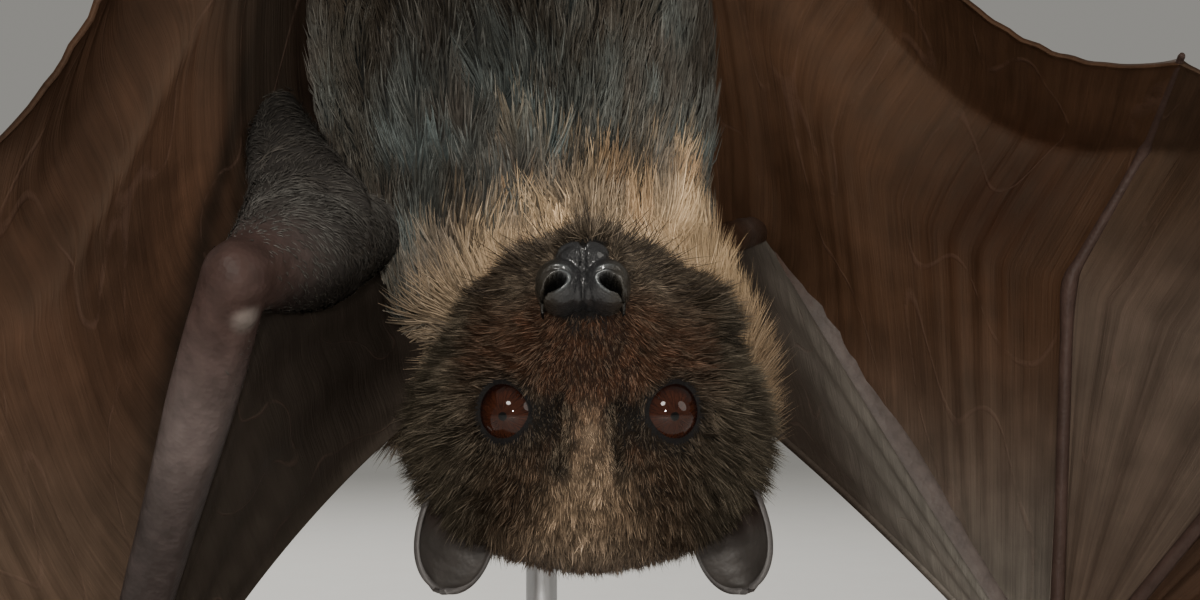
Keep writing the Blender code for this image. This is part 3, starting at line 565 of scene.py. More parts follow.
def marked_line(joints, marks, places):
    """Points on a chain of joints whose joints fall at the given marks from 0 to 1."""
    table = np.array(joints)
    stops = (0.0, *marks)
    return np.stack([np.interp(places, stops, table[:, axis]) for axis in range(3)], axis=-1)


def curve_line(joints, places):
    """Points on a smooth curve through the joints, at places from 0 to 1."""
    table = np.array(joints, dtype=float)
    return through_rows(table, np.clip(places, 0.0, 1.0) * (len(table) - 1))


def blend(first, second, part):
    """Points between two rows of points."""
    return first + (second - first) * np.asarray(part)[:, None]


def flank(name):
    """Line down the body's side and leg, along which the wing is fixed."""
    side = SIDES[name]
    return [mirror_point(WINGS[name]["shoulder"], side), mirror_point((34.0, 8.0, 250.0), side),
            mirror_point((31.0, 12.0, 295.0), side), mirror_point((24.0, 13.0, 340.0), side),
            mirror_point(KNEE, side), mirror_point(ANKLE, side)]


def inset_tip(joints):
    """Finger shortened a little at its tip, so that the skin ends short of it."""
    return joints[:-1] + [joints[-2] + (joints[-1] - joints[-2]) * 0.95]


def off_wrist(joints):
    """Finger that starts a little beyond the wrist."""
    return [joints[0] + (joints[1] - joints[0]) * 0.05] + joints[1:]


def trailing_edge(joints, name):
    """Free edge of the wing from the ankle to the fifth finger's tip."""
    side = SIDES[name]
    start = mirror_point(ANKLE, side)
    stop = inset_tip(joints[5])[-1]
    middle = start + (stop - start) * 0.55
    goal = joints["arm"][1] + (joints[5][1] - joints["arm"][1]) * 0.35
    pulled = middle + (goal - middle) * WINGS[name]["trail_pull"]
    leaving = start + (pulled - start) * 0.35 + np.array((side * 14.0, 0.0, 6.0))

    def edge(u):
        rest = (1.0 - u)[:, None]
        part = u[:, None]
        return (start * rest ** 3 + leaving * (3.0 * rest ** 2 * part)
                + pulled * (3.0 * rest * part ** 2) + stop * part ** 3)

    return edge


def soft_arm(joints, u):
    """Line of the arm with its elbow rounded."""
    points = [marked_line(joints["arm"], ARM_MARKS, np.clip(u + shift, 0.0, 1.0))
              for shift in (-0.04, 0.0, 0.04)]
    return (points[0] + points[1] + points[2]) / 3.0


def side_membrane_surface(joints, name):
    """Skin from the arm's line to the free edge, between the flank and the fifth finger."""
    edge = trailing_edge(joints, name)
    body_line = flank(name)
    finger = inset_tip(joints[5])
    shoulder = joints["arm"][0]
    wrist = joints["arm"][2]

    def straight(u):
        return shoulder + (wrist - shoulder) * u[:, None]

    def surface(u, v):
        arm_line = straight(u)
        trail_line = edge(u)
        inner = curve_line(body_line, v)
        outer = marked_line(finger, FINGER_MARKS, v)
        zero = np.zeros(1)
        one = np.ones(1)
        low_corners = straight(zero) + (straight(one) - straight(zero)) * u[:, None]
        high_corners = edge(zero) + (edge(one) - edge(zero)) * u[:, None]
        patch = (blend(arm_line, trail_line, v) + blend(inner, outer, u)
                 - blend(low_corners, high_corners, v))
        bend = (soft_arm(joints, u) - arm_line) * ((1.0 - v) ** ARM_FOLD)[:, None]
        billow = 16.0 * u * (1.0 - u) * v * (1.0 - v)
        return patch + bend + np.outer(billow * SIDE_BILLOW, BACKWARD)

    return surface


def front_membrane_surface(joints, name):
    """Skin before the arm, from the neck to the thumb."""
    arm = joints["arm"]
    neck_point = mirror_point(WINGS[name]["neck_point"], SIDES[name])
    middle = neck_point + (arm[2] - neck_point) * 0.5
    sag = WINGS[name]["lead_sag"]
    thumb = joints["thumb"]
    first = np.linalg.norm(thumb[1] - thumb[0])
    second = np.linalg.norm(thumb[2] - thumb[1])
    thumb_root = thumb[0] + (thumb[1] - thumb[0]) * (0.12 * (first + second) / first)

    def surface(u, v):
        lead = neck_point + (thumb_root - neck_point) * u[:, None]
        lead = lead + np.outer(sag * 4.0 * u * (1.0 - u), arm[1] - middle)
        return blend(soft_arm(joints, u), lead, v)

    return surface


def finger_membrane_surface(inner, outer, inner_marks, outer_marks, scallop, billow):
    """Skin between two fingers, its free edge drawn in by the scallop."""
    inner = off_wrist(inset_tip(inner))
    outer = off_wrist(inset_tip(outer))

    def surface(u, v):
        shrink = v * (1.0 - scallop * 4.0 * u * (1.0 - u) * v)
        near = marked_line(inner, inner_marks, shrink)
        far = marked_line(outer, outer_marks, shrink)
        swell = 16.0 * u * (1.0 - u) * v * (1.0 - v) * billow
        return blend(near, far, u) + np.outer(swell, BACKWARD)

    return surface


def tail_membrane_surface(side):
    """Narrow skin along the inner side of the leg."""
    hip = mirror_point((6.0, 11.0, 344.0), side)
    rump = mirror_point((2.5, 12.0, 347.0), side)
    knee = mirror_point(KNEE, side)
    ankle = mirror_point(ANKLE, side)
    inward = np.array((0.0, knee[1], knee[2]))
    leg = [hip, knee, ankle + (knee - ankle) * 0.06]
    edge = [rump, knee + (inward - knee) * 0.42, ankle + (knee - ankle) * 0.10]

    def surface(u, v):
        return blend(curve_line(leg, v), curve_line(edge, v), u)

    return surface


def crowded(count, power=1.7):
    """Places from 0 to 1, closer together near both ends."""
    even = np.linspace(-1.0, 1.0, count)
    return 0.5 + 0.5 * np.sign(even) * (1.0 - (1.0 - np.abs(even)) ** power)


def sheet(surface, u_places, v_places, half_thickness, relief=None):
    """Closed thin shell about surface(u, v); returns vertices, faces, u and v."""
    u, v = np.meshgrid(u_places, v_places)
    shape = u.shape
    points = surface(u.ravel(), v.ravel()).reshape(*shape, 3)
    du = np.gradient(points, axis=1)
    dv = np.gradient(points, axis=0)
    normal = unit(np.cross(du, dv))
    half = half_thickness(points, u, v)[..., None]
    if relief is not None:
        points = points + normal * relief(points, u, v)[..., None]
    rows, columns = shape
    upper = (points + normal * half).reshape(-1, 3)
    lower = (points - normal * half).reshape(-1, 3)
    tops = grid_faces(rows, columns, False)
    count = rows * columns
    bottoms = tops[:, ::-1] + count
    index = np.arange(count).reshape(shape)
    rim = np.concatenate((index[0, :-1], index[:-1, -1], index[-1, :0:-1], index[:0:-1, 0]))
    beyond = np.roll(rim, -1)
    walls = np.stack((beyond, rim, rim + count, beyond + count), axis=-1)
    faces = np.concatenate((tops, bottoms, walls))
    return (np.concatenate((upper, lower)), faces, np.concatenate((u.ravel(), u.ravel())),
            np.concatenate((v.ravel(), v.ravel())))


# ------------------------------------------------------------------ markings of skin and coat

# Colours that are mixed or scaled before use
TAN = np.array((0.200, 0.142, 0.094))
BUFF = np.array((0.44, 0.315, 0.190))
DARK_BROWN = np.array((0.0130, 0.0074, 0.0045))
BLACK_FUR = np.array((0.0062, 0.0046, 0.0034))
GREY_FUR = np.array((0.056, 0.073, 0.074))
RED_BROWN = np.array((0.022, 0.0086, 0.0046))
BACK_BROWN = np.array((0.036, 0.022, 0.015))
WING_BROWN = np.array((0.040, 0.0200, 0.0118))
WING_DARK = np.array((0.0080, 0.0048, 0.0034))
SLATE = np.array((0.063, 0.058, 0.051))

# Head: fur, lips, lids and nose
CHEEK_BLACK = (0.0088, 0.0082, 0.0060)
GREYER_TAN = (0.15, 0.115, 0.085)
SNOUT_GREY = (0.040, 0.032, 0.024)
HEAD_GLINT = (0.085, 0.071, 0.054)
WHISKER_BLACK = (0.007, 0.006, 0.006)
LIP_BLACK = (0.006, 0.005, 0.0045)
LID_BLACK = (0.006, 0.005, 0.005)
NOSE_BLACK = (0.0125, 0.0125, 0.0135)
# pale grey on the nostrils' rims and the brow arcs above them: a painted highlight of the wet skin
NOSE_RIM_HIGHLIGHT = (0.075, 0.084, 0.088)
NOSE_BROWN = (0.017, 0.0145, 0.0110)
NOSE_ROOT = (0.040, 0.026, 0.020)
# near black painted in the nostrils' hollows: painted shade
NOSTRIL_SHADE = (0.001, 0.001, 0.001)
EAR_GREY = (0.026, 0.0225, 0.0205)
EAR_ROOT = (0.018, 0.011, 0.009)
EAR_RIM = (0.075, 0.070, 0.070)

# Collar and trunk
DULL_BUFF = (0.150, 0.120, 0.092)
WARM_BUFF = (0.250, 0.135, 0.066)
SHADED_BUFF = (0.125, 0.100, 0.076)
DEEP_SHADE = (0.062, 0.050, 0.039)
CHEEK_BUFF = (0.185, 0.130, 0.076)
CHEEK_SHADE = (0.060, 0.040, 0.026)
NAPE_BROWN = (0.17, 0.088, 0.045)
BODY_FROST = (0.032, 0.031, 0.028)

# Arms and legs
ARM_GREY = (0.062, 0.049, 0.046)
ARM_PALE = (0.100, 0.078, 0.074)
ARM_DULL = (0.046, 0.038, 0.033)
ARM_RED = (0.034, 0.0155, 0.0080)
ARM_HAIR_DARK = (0.034, 0.031, 0.029)
ARM_HAIR_PALE = (0.068, 0.066, 0.062)
ELBOW_RED = (0.024, 0.0105, 0.0078)
KNOB_GREY = (0.100, 0.084, 0.076)
SHOULDER_GREY = (0.030, 0.027, 0.025)
FINGER_TINT = (0.60, 0.46, 0.42)
LEG_GREY = (0.040, 0.030, 0.029)
LEG_PALE = (0.085, 0.062, 0.058)

# Wing skins
# dark brown painted inside the left wing's fold: painted shade
FOLD_SHADE = (0.012, 0.0075, 0.0050)
LOW_BROWN = (0.062, 0.042, 0.030)
# dark grey of the left front skin: its own grey, darkened by painted shade
FRONT_SHADE_GREY = (0.0105, 0.0098, 0.0088)
WARM_WING = (0.038, 0.0185, 0.0095)
# deep red where back light shines through the right wing's skin: a painted glow
BACKLIT_RED = (0.010, 0.0020, 0.0003)
PALE_WING = (0.062, 0.048, 0.039)
SHADED_WING = (0.020, 0.0088, 0.0035)

# Height at which the collar ends at the nape; it reaches a little higher or lower at the front
COLLAR_TOP = 202.0

# Folds of the frown in the head's own axes: (ahead, aside, 0)
FROWN_CORNER = np.array((15.5, 8.4, 0.0))
FROWN_BEND = np.array((18.0, 5.2, 0.0))
FROWN_END = np.array((12.5, 5.3, 0.0))


def mixed(first, second, part):
    """Two colours mixed; 0 keeps the first and 1 gives the second."""
    part = np.asarray(part)[..., None]
    return first * (1.0 - part) + np.asarray(second) * part


def layered(points, ground, *layers):
    """Colour of each point: a ground, then further colours laid over it, each by its share."""
    colour = np.repeat(np.asarray(ground)[None], len(points), axis=0)
    for tone, share in layers:
        colour = mixed(colour, tone, share)
    return colour


def frown_reach(points):
    """Distance over the face from the folds that run from the eyes' inner corners up the forehead."""
    ahead, aside, _ = head_local(points)
    flat = np.stack((ahead, np.abs(aside), np.zeros(len(points))), axis=-1)
    return np.minimum(segment_distance(flat, FROWN_CORNER, FROWN_BEND),
                      segment_distance(flat, FROWN_BEND, FROWN_END))


def head_tones(points):
    """Colour of the head's fur at points in space."""
    ahead, aside, above = head_local(points)
    patchy = lattice_noise(points, 3.2, 5)
    fine = lattice_noise(points, 1.1, 9)
    cheek = smoothstep(13.0, 24.0, np.abs(aside))
    muzzle = smoothstep(10.0, 17.0, ahead) * smoothstep(-16.0, -4.0, above)
    # golden streak from between the eyes up the forehead, wider and greyer towards the crown
    width = 2.4 + 0.36 * np.clip(19.0 - ahead, 0.0, 40.0)
    streak = bump_of(aside, 0.0, width) * smoothstep(21.5, 15.5, ahead) * smoothstep(-22.0, -1.0, ahead)
    streak = streak * smoothstep(-4.0, 2.0, above)
    gold = layered(points, TAN, (GREYER_TAN, smoothstep(6.0, -12.0, ahead)))
    # painted shade in the folds of the frown, a little ragged
    frown = frown_reach(points) + (lattice_noise(points, 2.2, 13) - 0.5) * 2.6
    frown = 0.85 * smoothstep(3.6, 0.6, frown) * smoothstep(-3.0, 1.0, above)
    # dark rings round the eyes
    rings = [0.80 * smoothstep(10.2, 7.6, distance(points, eye_centre(side))) for side in SIDES.values()]
    snout = smoothstep(16.0, 27.0, ahead) * smoothstep(-5.0, -12.0, above)
    crown = smoothstep(-12.0, -24.0, ahead) * smoothstep(8.0, 18.0, above)
    chin = smoothstep(-14.0, -20.0, above) * smoothstep(27.0, 20.0, ahead)
    colour = layered(points, DARK_BROWN, (CHEEK_BLACK, 0.85 * cheek), (RED_BROWN, 0.75 * muzzle),
                     (gold, streak * (0.36 + 0.52 * patchy)), (BLACK_FUR * 0.6, frown),
                     (BLACK_FUR, rings[0]), (BLACK_FUR, rings[1]), (SNOUT_GREY, 0.80 * snout),
                     (RED_BROWN * 0.8, 0.6 * crown), (BLACK_FUR * 1.3, 0.7 * chin))
    return colour * (0.55 + 0.90 * fine)[:, None]


def collar_share(points):
    """1 where the buff collar lies and 0 away from it, right round the neck."""
    ragged = ((lattice_noise(points, 13.0, 21) - 0.5) * 22.0
              + (lattice_noise(points, 4.0, 22) - 0.5) * 13.0)
    height = points[:, 2] + ragged
    front = smoothstep(20.0, -30.0, points[:, 1])
    top = COLLAR_TOP + (28.0 * smoothstep(-42.0, -8.0, points[:, 0]) - 10.0) * front
    return smoothstep(top + 15.0, top - 11.0, height)


def body_tones(points, luck=0.5):
    """Colour of the trunk's and neck's fur at points; luck shifts the collar's border tuft by tuft."""
    x = points[:, 0]
    z = points[:, 2]
    fine = lattice_noise(points, 1.6, 31)
    patchy = lattice_noise(points, 6.0, 33)
    broad = lattice_noise(points, 13.0, 35)
    front = smoothstep(14.0, -14.0, points[:, 1])
    trunk = layered(points, BACK_BROWN, (GREY_FUR, front * (0.25 + 0.75 * patchy)),
                    (BLACK_FUR * 1.8, 0.75 * front * smoothstep(0.40, 0.66, broad)))
    shadow = smoothstep(224.0, 250.0, z) * smoothstep(22.0, -8.0, x)
    trunk = trunk * (1.0 - 0.55 * front * shadow)[:, None]
    # painted light makes the collar's buff brighter below the throat, and painted shade makes it darker on
    # both sides of the head
    dull = smoothstep(0.42, 0.68, lattice_noise(points, 7.0, 36))
    warm = smoothstep(0.55, 0.75, lattice_noise(points, 8.0, 37))
    lit_throat = smoothstep(-22.0, 0.0, x) * smoothstep(226.0, 206.0, z) * front
    shaded = smoothstep(-6.0, -34.0, x) * front
    beside = smoothstep(12.0, 30.0, x) * front
    collar = layered(points, BUFF * 1.1, (DULL_BUFF, dull), (WARM_BUFF, 0.6 * warm),
                     (BUFF * 1.25, 0.55 * lit_throat),
                     (SHADED_BUFF, 0.80 * shaded),
                     (DEEP_SHADE, 0.85 * shaded * smoothstep(203.0, 190.0, z)),
                     (CHEEK_BUFF, 0.85 * beside * smoothstep(216.0, 204.0, z)),
                     (CHEEK_SHADE, 0.80 * beside * smoothstep(200.0, 184.0, z)),
                     (NAPE_BROWN, 0.72 * (1.0 - front)))
    share = collar_share(points + np.outer(np.ones(len(points)) * (luck - 0.5), UP) * 20.0)
    return mixed(trunk, collar, share) * (0.60 + 0.75 * fine)[:, None]


# ------------------------------------------------------------------ materials

def coat_look(name, roughness, specular):
    look = Look(name, Roughness=roughness, Specular_IOR_Level=specular, Specular_Tint=(1.0, 0.80, 0.58, 1.0))
    return look.paint(look.toned(look.noise(look.place(), 900.0, 2.0).ramp(0.25, 0.75) * 0.35 + 0.83))


def furred_skin_look(name):
    """Skin under the coat: the coat's own markings, darker, with a fine hairy grain."""
    look = Look(name, Specular_IOR_Level=0.12)
    grain = look.noise(look.place(), 1400.0, 3.0)
    return look.paint(look.toned(grain * 0.5 + 0.35), grain * 0.3 + 0.6, grain, 0.6, 0.0006)


def bare_skin_look(name, scale, relief, specular, wet=0.0, hollows=False):
    """Bare skin: vertex colours with fine creases and pores; hollows are told by a field and stay dry."""
    look = Look(name, Specular_IOR_Level=specular, Coat_Weight=wet, Coat_Roughness=0.09 if hollows else 0.12)
    if hollows:
        dry = look.attribute("hollow")
        look.feed(look.shader.inputs["Coat Weight"], (1.0 - dry) * wet)
    place = look.place()
    pores = look.cells(place, scale)
    creases = look.noise(place, scale * 0.35, 4.0, 0.6)
    height = pores * 0.6 + creases * 0.8
    return look.paint(look.toned(creases * 0.5 + 0.75), creases * 0.25 + 0.35, height, relief, 0.0008)


def wing_look(name):
    """Wing skin: fine lines that run from the arm to the free edge, a few veins, and vertex colours."""
    look = Look(name, Specular_IOR_Level=0.15, Specular_Tint=(1.0, 0.82, 0.64, 1.0))
    across = look.attribute("across")
    down = look.attribute("down")
    kind = look.attribute("kind")
    lines = look.noise(look.vector(across * 210.0, down * 5.0, kind * 7.0), 1.0, 3.0, 0.6)
    broad = look.noise(look.vector(across * 46.0, down * 3.0, kind * 7.0), 1.0, 4.0, 0.6)
    mottle = look.noise(look.place(), 160.0, 4.0, 0.6)
    tone = (lines - 0.5) * 0.75 + (broad - 0.5) * 0.9 + (mottle - 0.5) * 0.5 + 1.0
    veins = look.noise(look.vector(across * 5.0, down * 2.2, kind * 3.0), 1.0, 1.0, 0.5)
    ridge = 1.0 - ((veins - 0.5) * (veins - 0.5) * 30000.0).clamp()
    ridge = ridge * mottle.ramp(0.35, 0.6)
    colour = look.mix(ridge * 0.16, look.toned(tone), (0.085, 0.050, 0.040))
    height = lines * 0.5 + broad * 0.6 + mottle * 0.3 + ridge * 0.3
    return look.paint(colour, mottle * 0.25 + 0.48, height, 0.45, 0.0008)


def eye_look():
    """Eyeball: deep red-brown iris with a small pupil and a dark edge, under a wet surface."""
    look = Look("eyeball", Roughness=0.30, Specular_IOR_Level=0.0, Coat_Weight=0.75, Coat_Roughness=0.02,
                Coat_IOR=1.38)
    reach = look.attribute("gaze")
    around = look.attribute("turn")
    fibres = look.noise(look.vector(around * 14.0, reach * 2.2), 1.0, 3.0)
    iris = look.mix(fibres.ramp(0.3, 0.75), (0.011, 0.0038, 0.0024), (0.034, 0.0106, 0.0056))
    edge = reach.ramp(0.50, 0.95)
    colour = look.mix(edge, iris, (0.006, 0.002, 0.0015))
    pupil = reach.ramp(0.135, 0.095)
    return look.paint(look.mix(pupil, colour, (0.002, 0.002, 0.002)))


def horn_look():
    look = Look("horn", Coat_Weight=0.4, Coat_Roughness=0.15)
    streaks = look.noise(look.stretched(look.place(), (1.0, 1.0, 0.3)), 900.0, 2.0)
    return look.paint(look.mix(streaks, (0.010, 0.008, 0.007), (0.050, 0.038, 0.030)), streaks * 0.2 + 0.25,
                      streaks, 0.2, 0.0004)


def bark_look():
    look = Look("bark")
    place = look.place()
    plates = look.cells(look.stretched(place, (0.35, 1.0, 1.0)), 170.0)
    grain = look.noise(look.stretched(place, (0.25, 1.0, 1.0)), 420.0, 5.0, 0.65)
    lichen = look.noise(place, 60.0, 3.0).ramp(0.60, 0.70)
    colour = look.mix(grain, (0.045, 0.030, 0.020), (0.20, 0.145, 0.10))
    colour = look.mix(plates.ramp(0.0, 0.35) * 0.4, colour, (0.10, 0.075, 0.055))
    colour = look.mix(lichen * 0.35, colour, (0.24, 0.25, 0.20))
    return look.paint(colour, grain * 0.2 + 0.72, plates * 0.7 + grain, 0.8, 0.0020)


def cut_wood_look():
    look = Look("cut_wood")
    place = look.place()
    rings = look.node("ShaderNodeTexWave", {"wave_type": "RINGS", "rings_direction": "X"},
                      {"Vector": place, "Scale": 190.0, "Distortion": 2.5, "Detail": 2.0}).out("Fac")
    return look.paint(look.mix(rings, (0.30, 0.19, 0.10), (0.46, 0.32, 0.19)), rings * 0.1 + 0.65, rings, 0.2,
                      0.0004)


def board_look():
    look = Look("dark_wood", Coat_Weight=0.25, Coat_Roughness=0.25)
    place = look.place()
    grain = look.noise(look.stretched(place, (0.06, 1.0, 1.0)), 160.0, 5.0, 0.6)
    pores = look.noise(look.stretched(place, (0.05, 1.0, 1.0)), 1500.0, 2.0, 0.5)
    tone = grain * 0.8 + pores * 0.25
    return look.paint(look.mix(tone, (0.030, 0.013, 0.007), (0.15, 0.070, 0.032)), pores * 0.2 + 0.35,
                      tone, 0.15, 0.0004)


def steel_look():
    look = Look("brushed_steel", Metallic=1.0)
    brushed = look.noise(look.stretched(look.place(), (1.0, 1.0, 0.02)), 2600.0, 2.0)
    tone = brushed * 0.12
    return look.paint(look.mix(tone, (0.42, 0.42, 0.43), (0.62, 0.62, 0.63)), brushed * 0.2 + 0.25, brushed,
                      0.06, 0.0002)


def floor_look():
    look = Look("pale_floor")
    grain = look.noise(look.place(), 30.0, 3.0)
    return look.paint(look.mix(grain, (0.66, 0.66, 0.65), (0.70, 0.70, 0.69)), grain * 0.1 + 0.7)


COAT_FINE = coat_look("coat_fine", 0.38, 0.28)
COAT_SOFT = coat_look("coat_soft", 0.60, 0.22)
FURRED_SKIN = furred_skin_look("furred_skin")
NOSE_SKIN = bare_skin_look("wet_nose_skin", 2300.0, 0.34, 0.18, wet=0.56, hollows=True)
ARM_SKIN = bare_skin_look("arm_skin", 900.0, 0.22, 0.10)
EAR_SKIN = bare_skin_look("ear_skin", 900.0, 0.12, 0.25)
FOOT_SKIN = bare_skin_look("foot_skin", 500.0, 0.6, 0.16, wet=0.05)
WING_SKIN = wing_look("wing_skin")
EYEBALL = eye_look()
HORN = horn_look()


def closed_piece(name, points, faces, look, slot, **more):
    """Piece made of closed shells, every one's faces turned outwards."""
    piece = make_piece(name, points, faces, look, slot, **more)
    mesh = bmesh.new()
    mesh.from_mesh(piece.data)
    bmesh.ops.recalc_face_normals(mesh, faces=mesh.faces)
    mesh.to_mesh(piece.data)
    mesh.free()
    return piece


def finish_melt(piece, name, look, tones, fields=None):
    """Gives a melted skin, still in millimetres, its colours, and sets it in metres."""
    piece.name = name
    piece.data.name = name
    points = points_of(piece.data)
    add_fields(piece.data, tones(points), fields)
    put_points(piece.data, points * MM)
    piece.data.polygons.foreach_set("use_smooth", np.ones(len(piece.data.polygons), dtype=bool))
    settle(piece, look)


# ------------------------------------------------------------------ head

def eye_centre(side):
    """Middle of the eyeball."""
    return head_point(EYE_PLACE[0], side * EYE_PLACE[1], EYE_PLACE[2])


def eye_frame(side):
    """Facing of the eye's opening, then its level and upright directions."""
    facing = head_way(0.84, side * 0.34, 0.46)
    upright = unit(CROWN - facing * np.dot(CROWN, facing))
    level = np.cross(upright, facing)
    if np.dot(level, ASIDE) < 0.0:
        level = -level
    return facing, level, upright


def lid_ring(side, half_wide, half_high, shell, thickness, sides=56, around=10):
    """Lid edge that follows the ball, pointed a little at the inner corner."""
    facing, level, upright = eye_frame(side)
    centre = eye_centre(side)
    corner = math.atan2(-0.75, -side)
    path = []
    for angle in np.linspace(0.0, 2.0 * math.pi, sides, endpoint=False):
        gap = (angle - corner + math.pi) % (2.0 * math.pi) - math.pi
        stretch = 1.0 + 0.13 * math.exp(-(gap / 0.38) ** 2)
        x = half_wide * math.cos(angle) * stretch
        y = half_high * math.sin(angle) * stretch
        reach = math.sqrt(max(shell ** 2 - x * x - y * y, 0.4))
        path.append(centre + level * x + upright * y + facing * reach)
    path = np.array(path)
    forward = unit(np.roll(path, -1, axis=0) - np.roll(path, 1, axis=0))
    outward = unit(path - centre)
    sideways = unit(np.cross(forward, outward))
    turn = np.linspace(0.0, 2.0 * math.pi, around, endpoint=False)
    points = (path[:, None, :] + sideways[:, None, :] * (np.cos(turn)[None, :, None] * thickness)
              + outward[:, None, :] * (np.sin(turn)[None, :, None] * thickness * 0.8))
    faces = []
    for j in range(sides):
        here = j * around
        after = ((j + 1) % sides) * around
        for i in range(around):
            beside = (i + 1) % around
            faces.append((here + i, after + i, after + beside, here + beside))
    return points.reshape(-1, 3), faces


def build_head_skin():
    """Skull, cheeks, brows, lids and jaw melted into one skin, then marked with mouth, lip and frown."""
    rows = smooth_rows(HEAD_SECTIONS, 60)
    centres = np.array([head_point(row[0], 0.0, row[1]) for row in rows])
    shells = [tube(centres, ASIDE, rows[:, 2] - rows[:, 4], rows[:, 3] - rows[:, 4], 64)]
    for side in SIDES.values():
        facing = eye_frame(side)[0]
        shells.append(ball(eye_centre(side) - facing * 1.6, 6.9, segments=32))
        shells.append(lid_ring(side, 5.85, 6.7, 6.95, 0.75))
        for ahead, aside, shift, above, radius, squash in HEAD_PADS:
            shells.append(ball(head_point(ahead, side * aside + shift, above), radius, squash, HEAD_AXES))
    jaw = smooth_rows(JAW_SECTIONS, 24)
    centres = np.array([head_point(row[0], 0.0, row[1]) for row in jaw])
    shells.append(tube(centres, ASIDE, jaw[:, 2], jaw[:, 3], 32))
    piece = remeshed("head_skin", shells, GRAIN["head"], 4)
    points = points_of(piece.data)
    normals = normals_of(piece.data)
    ahead, aside, above = head_local(points)
    # mouth line, philtrum and the folds of the frown
    mouth = bump_of(above, MOUTH_ABOVE + 0.05 * (ahead - 20.0), 0.55) * smoothstep(8.0, 14.0, ahead)
    middle = bump_of(aside, NOSE_ASIDE, 0.7) * smoothstep(26.0, 28.5, ahead) * smoothstep(-18.5, -15.0, above)
    frown = bump_of(frown_reach(points), 0.0, 1.3) * smoothstep(-2.0, 4.0, above)
    # the jaw's front stays behind the wet skin of the lip
    lip = smoothstep(6.2, 4.6, np.abs(aside - NOSE_ASIDE)) * smoothstep(-17.4, -15.4, above)
    lip = lip * smoothstep(32.0, 34.0, ahead)
    points = points - normals * (0.9 * mouth + 0.6 * middle + 1.7 * frown)[:, None]
    points = points - MUZZLE * (1.8 * lip)[:, None]
    put_points(piece.data, points)

    def tones(places):
        front, sideways, _ = head_local(places)
        lips = smoothstep(27.5, 29.0, front) * smoothstep(4.8, 3.2, np.abs(sideways - NOSE_ASIDE))
        colour = mixed(head_tones(places) * 0.8, LIP_BLACK, lips)
        for side in SIDES.values():
            colour = mixed(colour, LID_BLACK, smoothstep(7.7, 7.3, distance(places, eye_centre(side))))
        return colour

    finish_melt(piece, "head_skin", FURRED_SKIN, tones)
    return piece


def build_eye(name, side):
    """Ball with a bulging clear front, its iris told by the angle from the line of sight."""
    centre = eye_centre(side)
    gaze = head_way(0.80, side * 0.27, 0.60)
    upright = unit(CROWN - gaze * np.dot(CROWN, gaze))
    level = np.cross(upright, gaze)
    bpy.ops.object.select_all(action="DESELECT")
    bpy.ops.mesh.primitive_uv_sphere_add(segments=72, ring_count=48, radius=EYE_RADIUS * MM)
    piece = bpy.context.active_object
    piece.name = "eyeball_" + name
    bpy.ops.object.shade_smooth()
    local = points_of(piece.data) / MM
    lean = np.degrees(np.arccos(np.clip(unit(local) @ np.array((0.0, 0.0, 1.0)), -1.0, 1.0)))
    bulge = 1.0 + 0.030 * smoothstep(48.0, 20.0, lean)
    turned = local * bulge[:, None]
    axes = np.array((level, upright, gaze))
    put_points(piece.data, (turned @ axes + centre) * MM)
    add_fields(piece.data, None, {"gaze": np.clip(lean / 62.0, 0.0, 1.0),
                                  "turn": 0.5 + 0.5 * np.sin(np.arctan2(local[:, 1], local[:, 0]) * 3.0)})
    settle(piece, EYEBALL)
    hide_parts("eye_" + name)


# The nose's middle, its lobes' distance from it, and the openings' middles, depth and the lobes' front
NOSE_ASIDE = -1.0
NOSTRIL_ASIDE = 4.3
HOLE_ASIDE = 4.9
HOLE_ABOVE = -5.3
NOSTRIL_DEPTH = 5.5
LOBE_FRONT = 33.0
# Each lobe of the nose: (along muzzle, above axis, radius, share of its full distance from the middle)
NOSTRIL_SECTIONS = ((23.0, -8.7, 3.0, 0.45), (27.5, -8.2, 3.6, 0.72), (31.5, -7.5, 4.4, 0.95),
                    (34.4, -7.0, 4.35, 1.0))


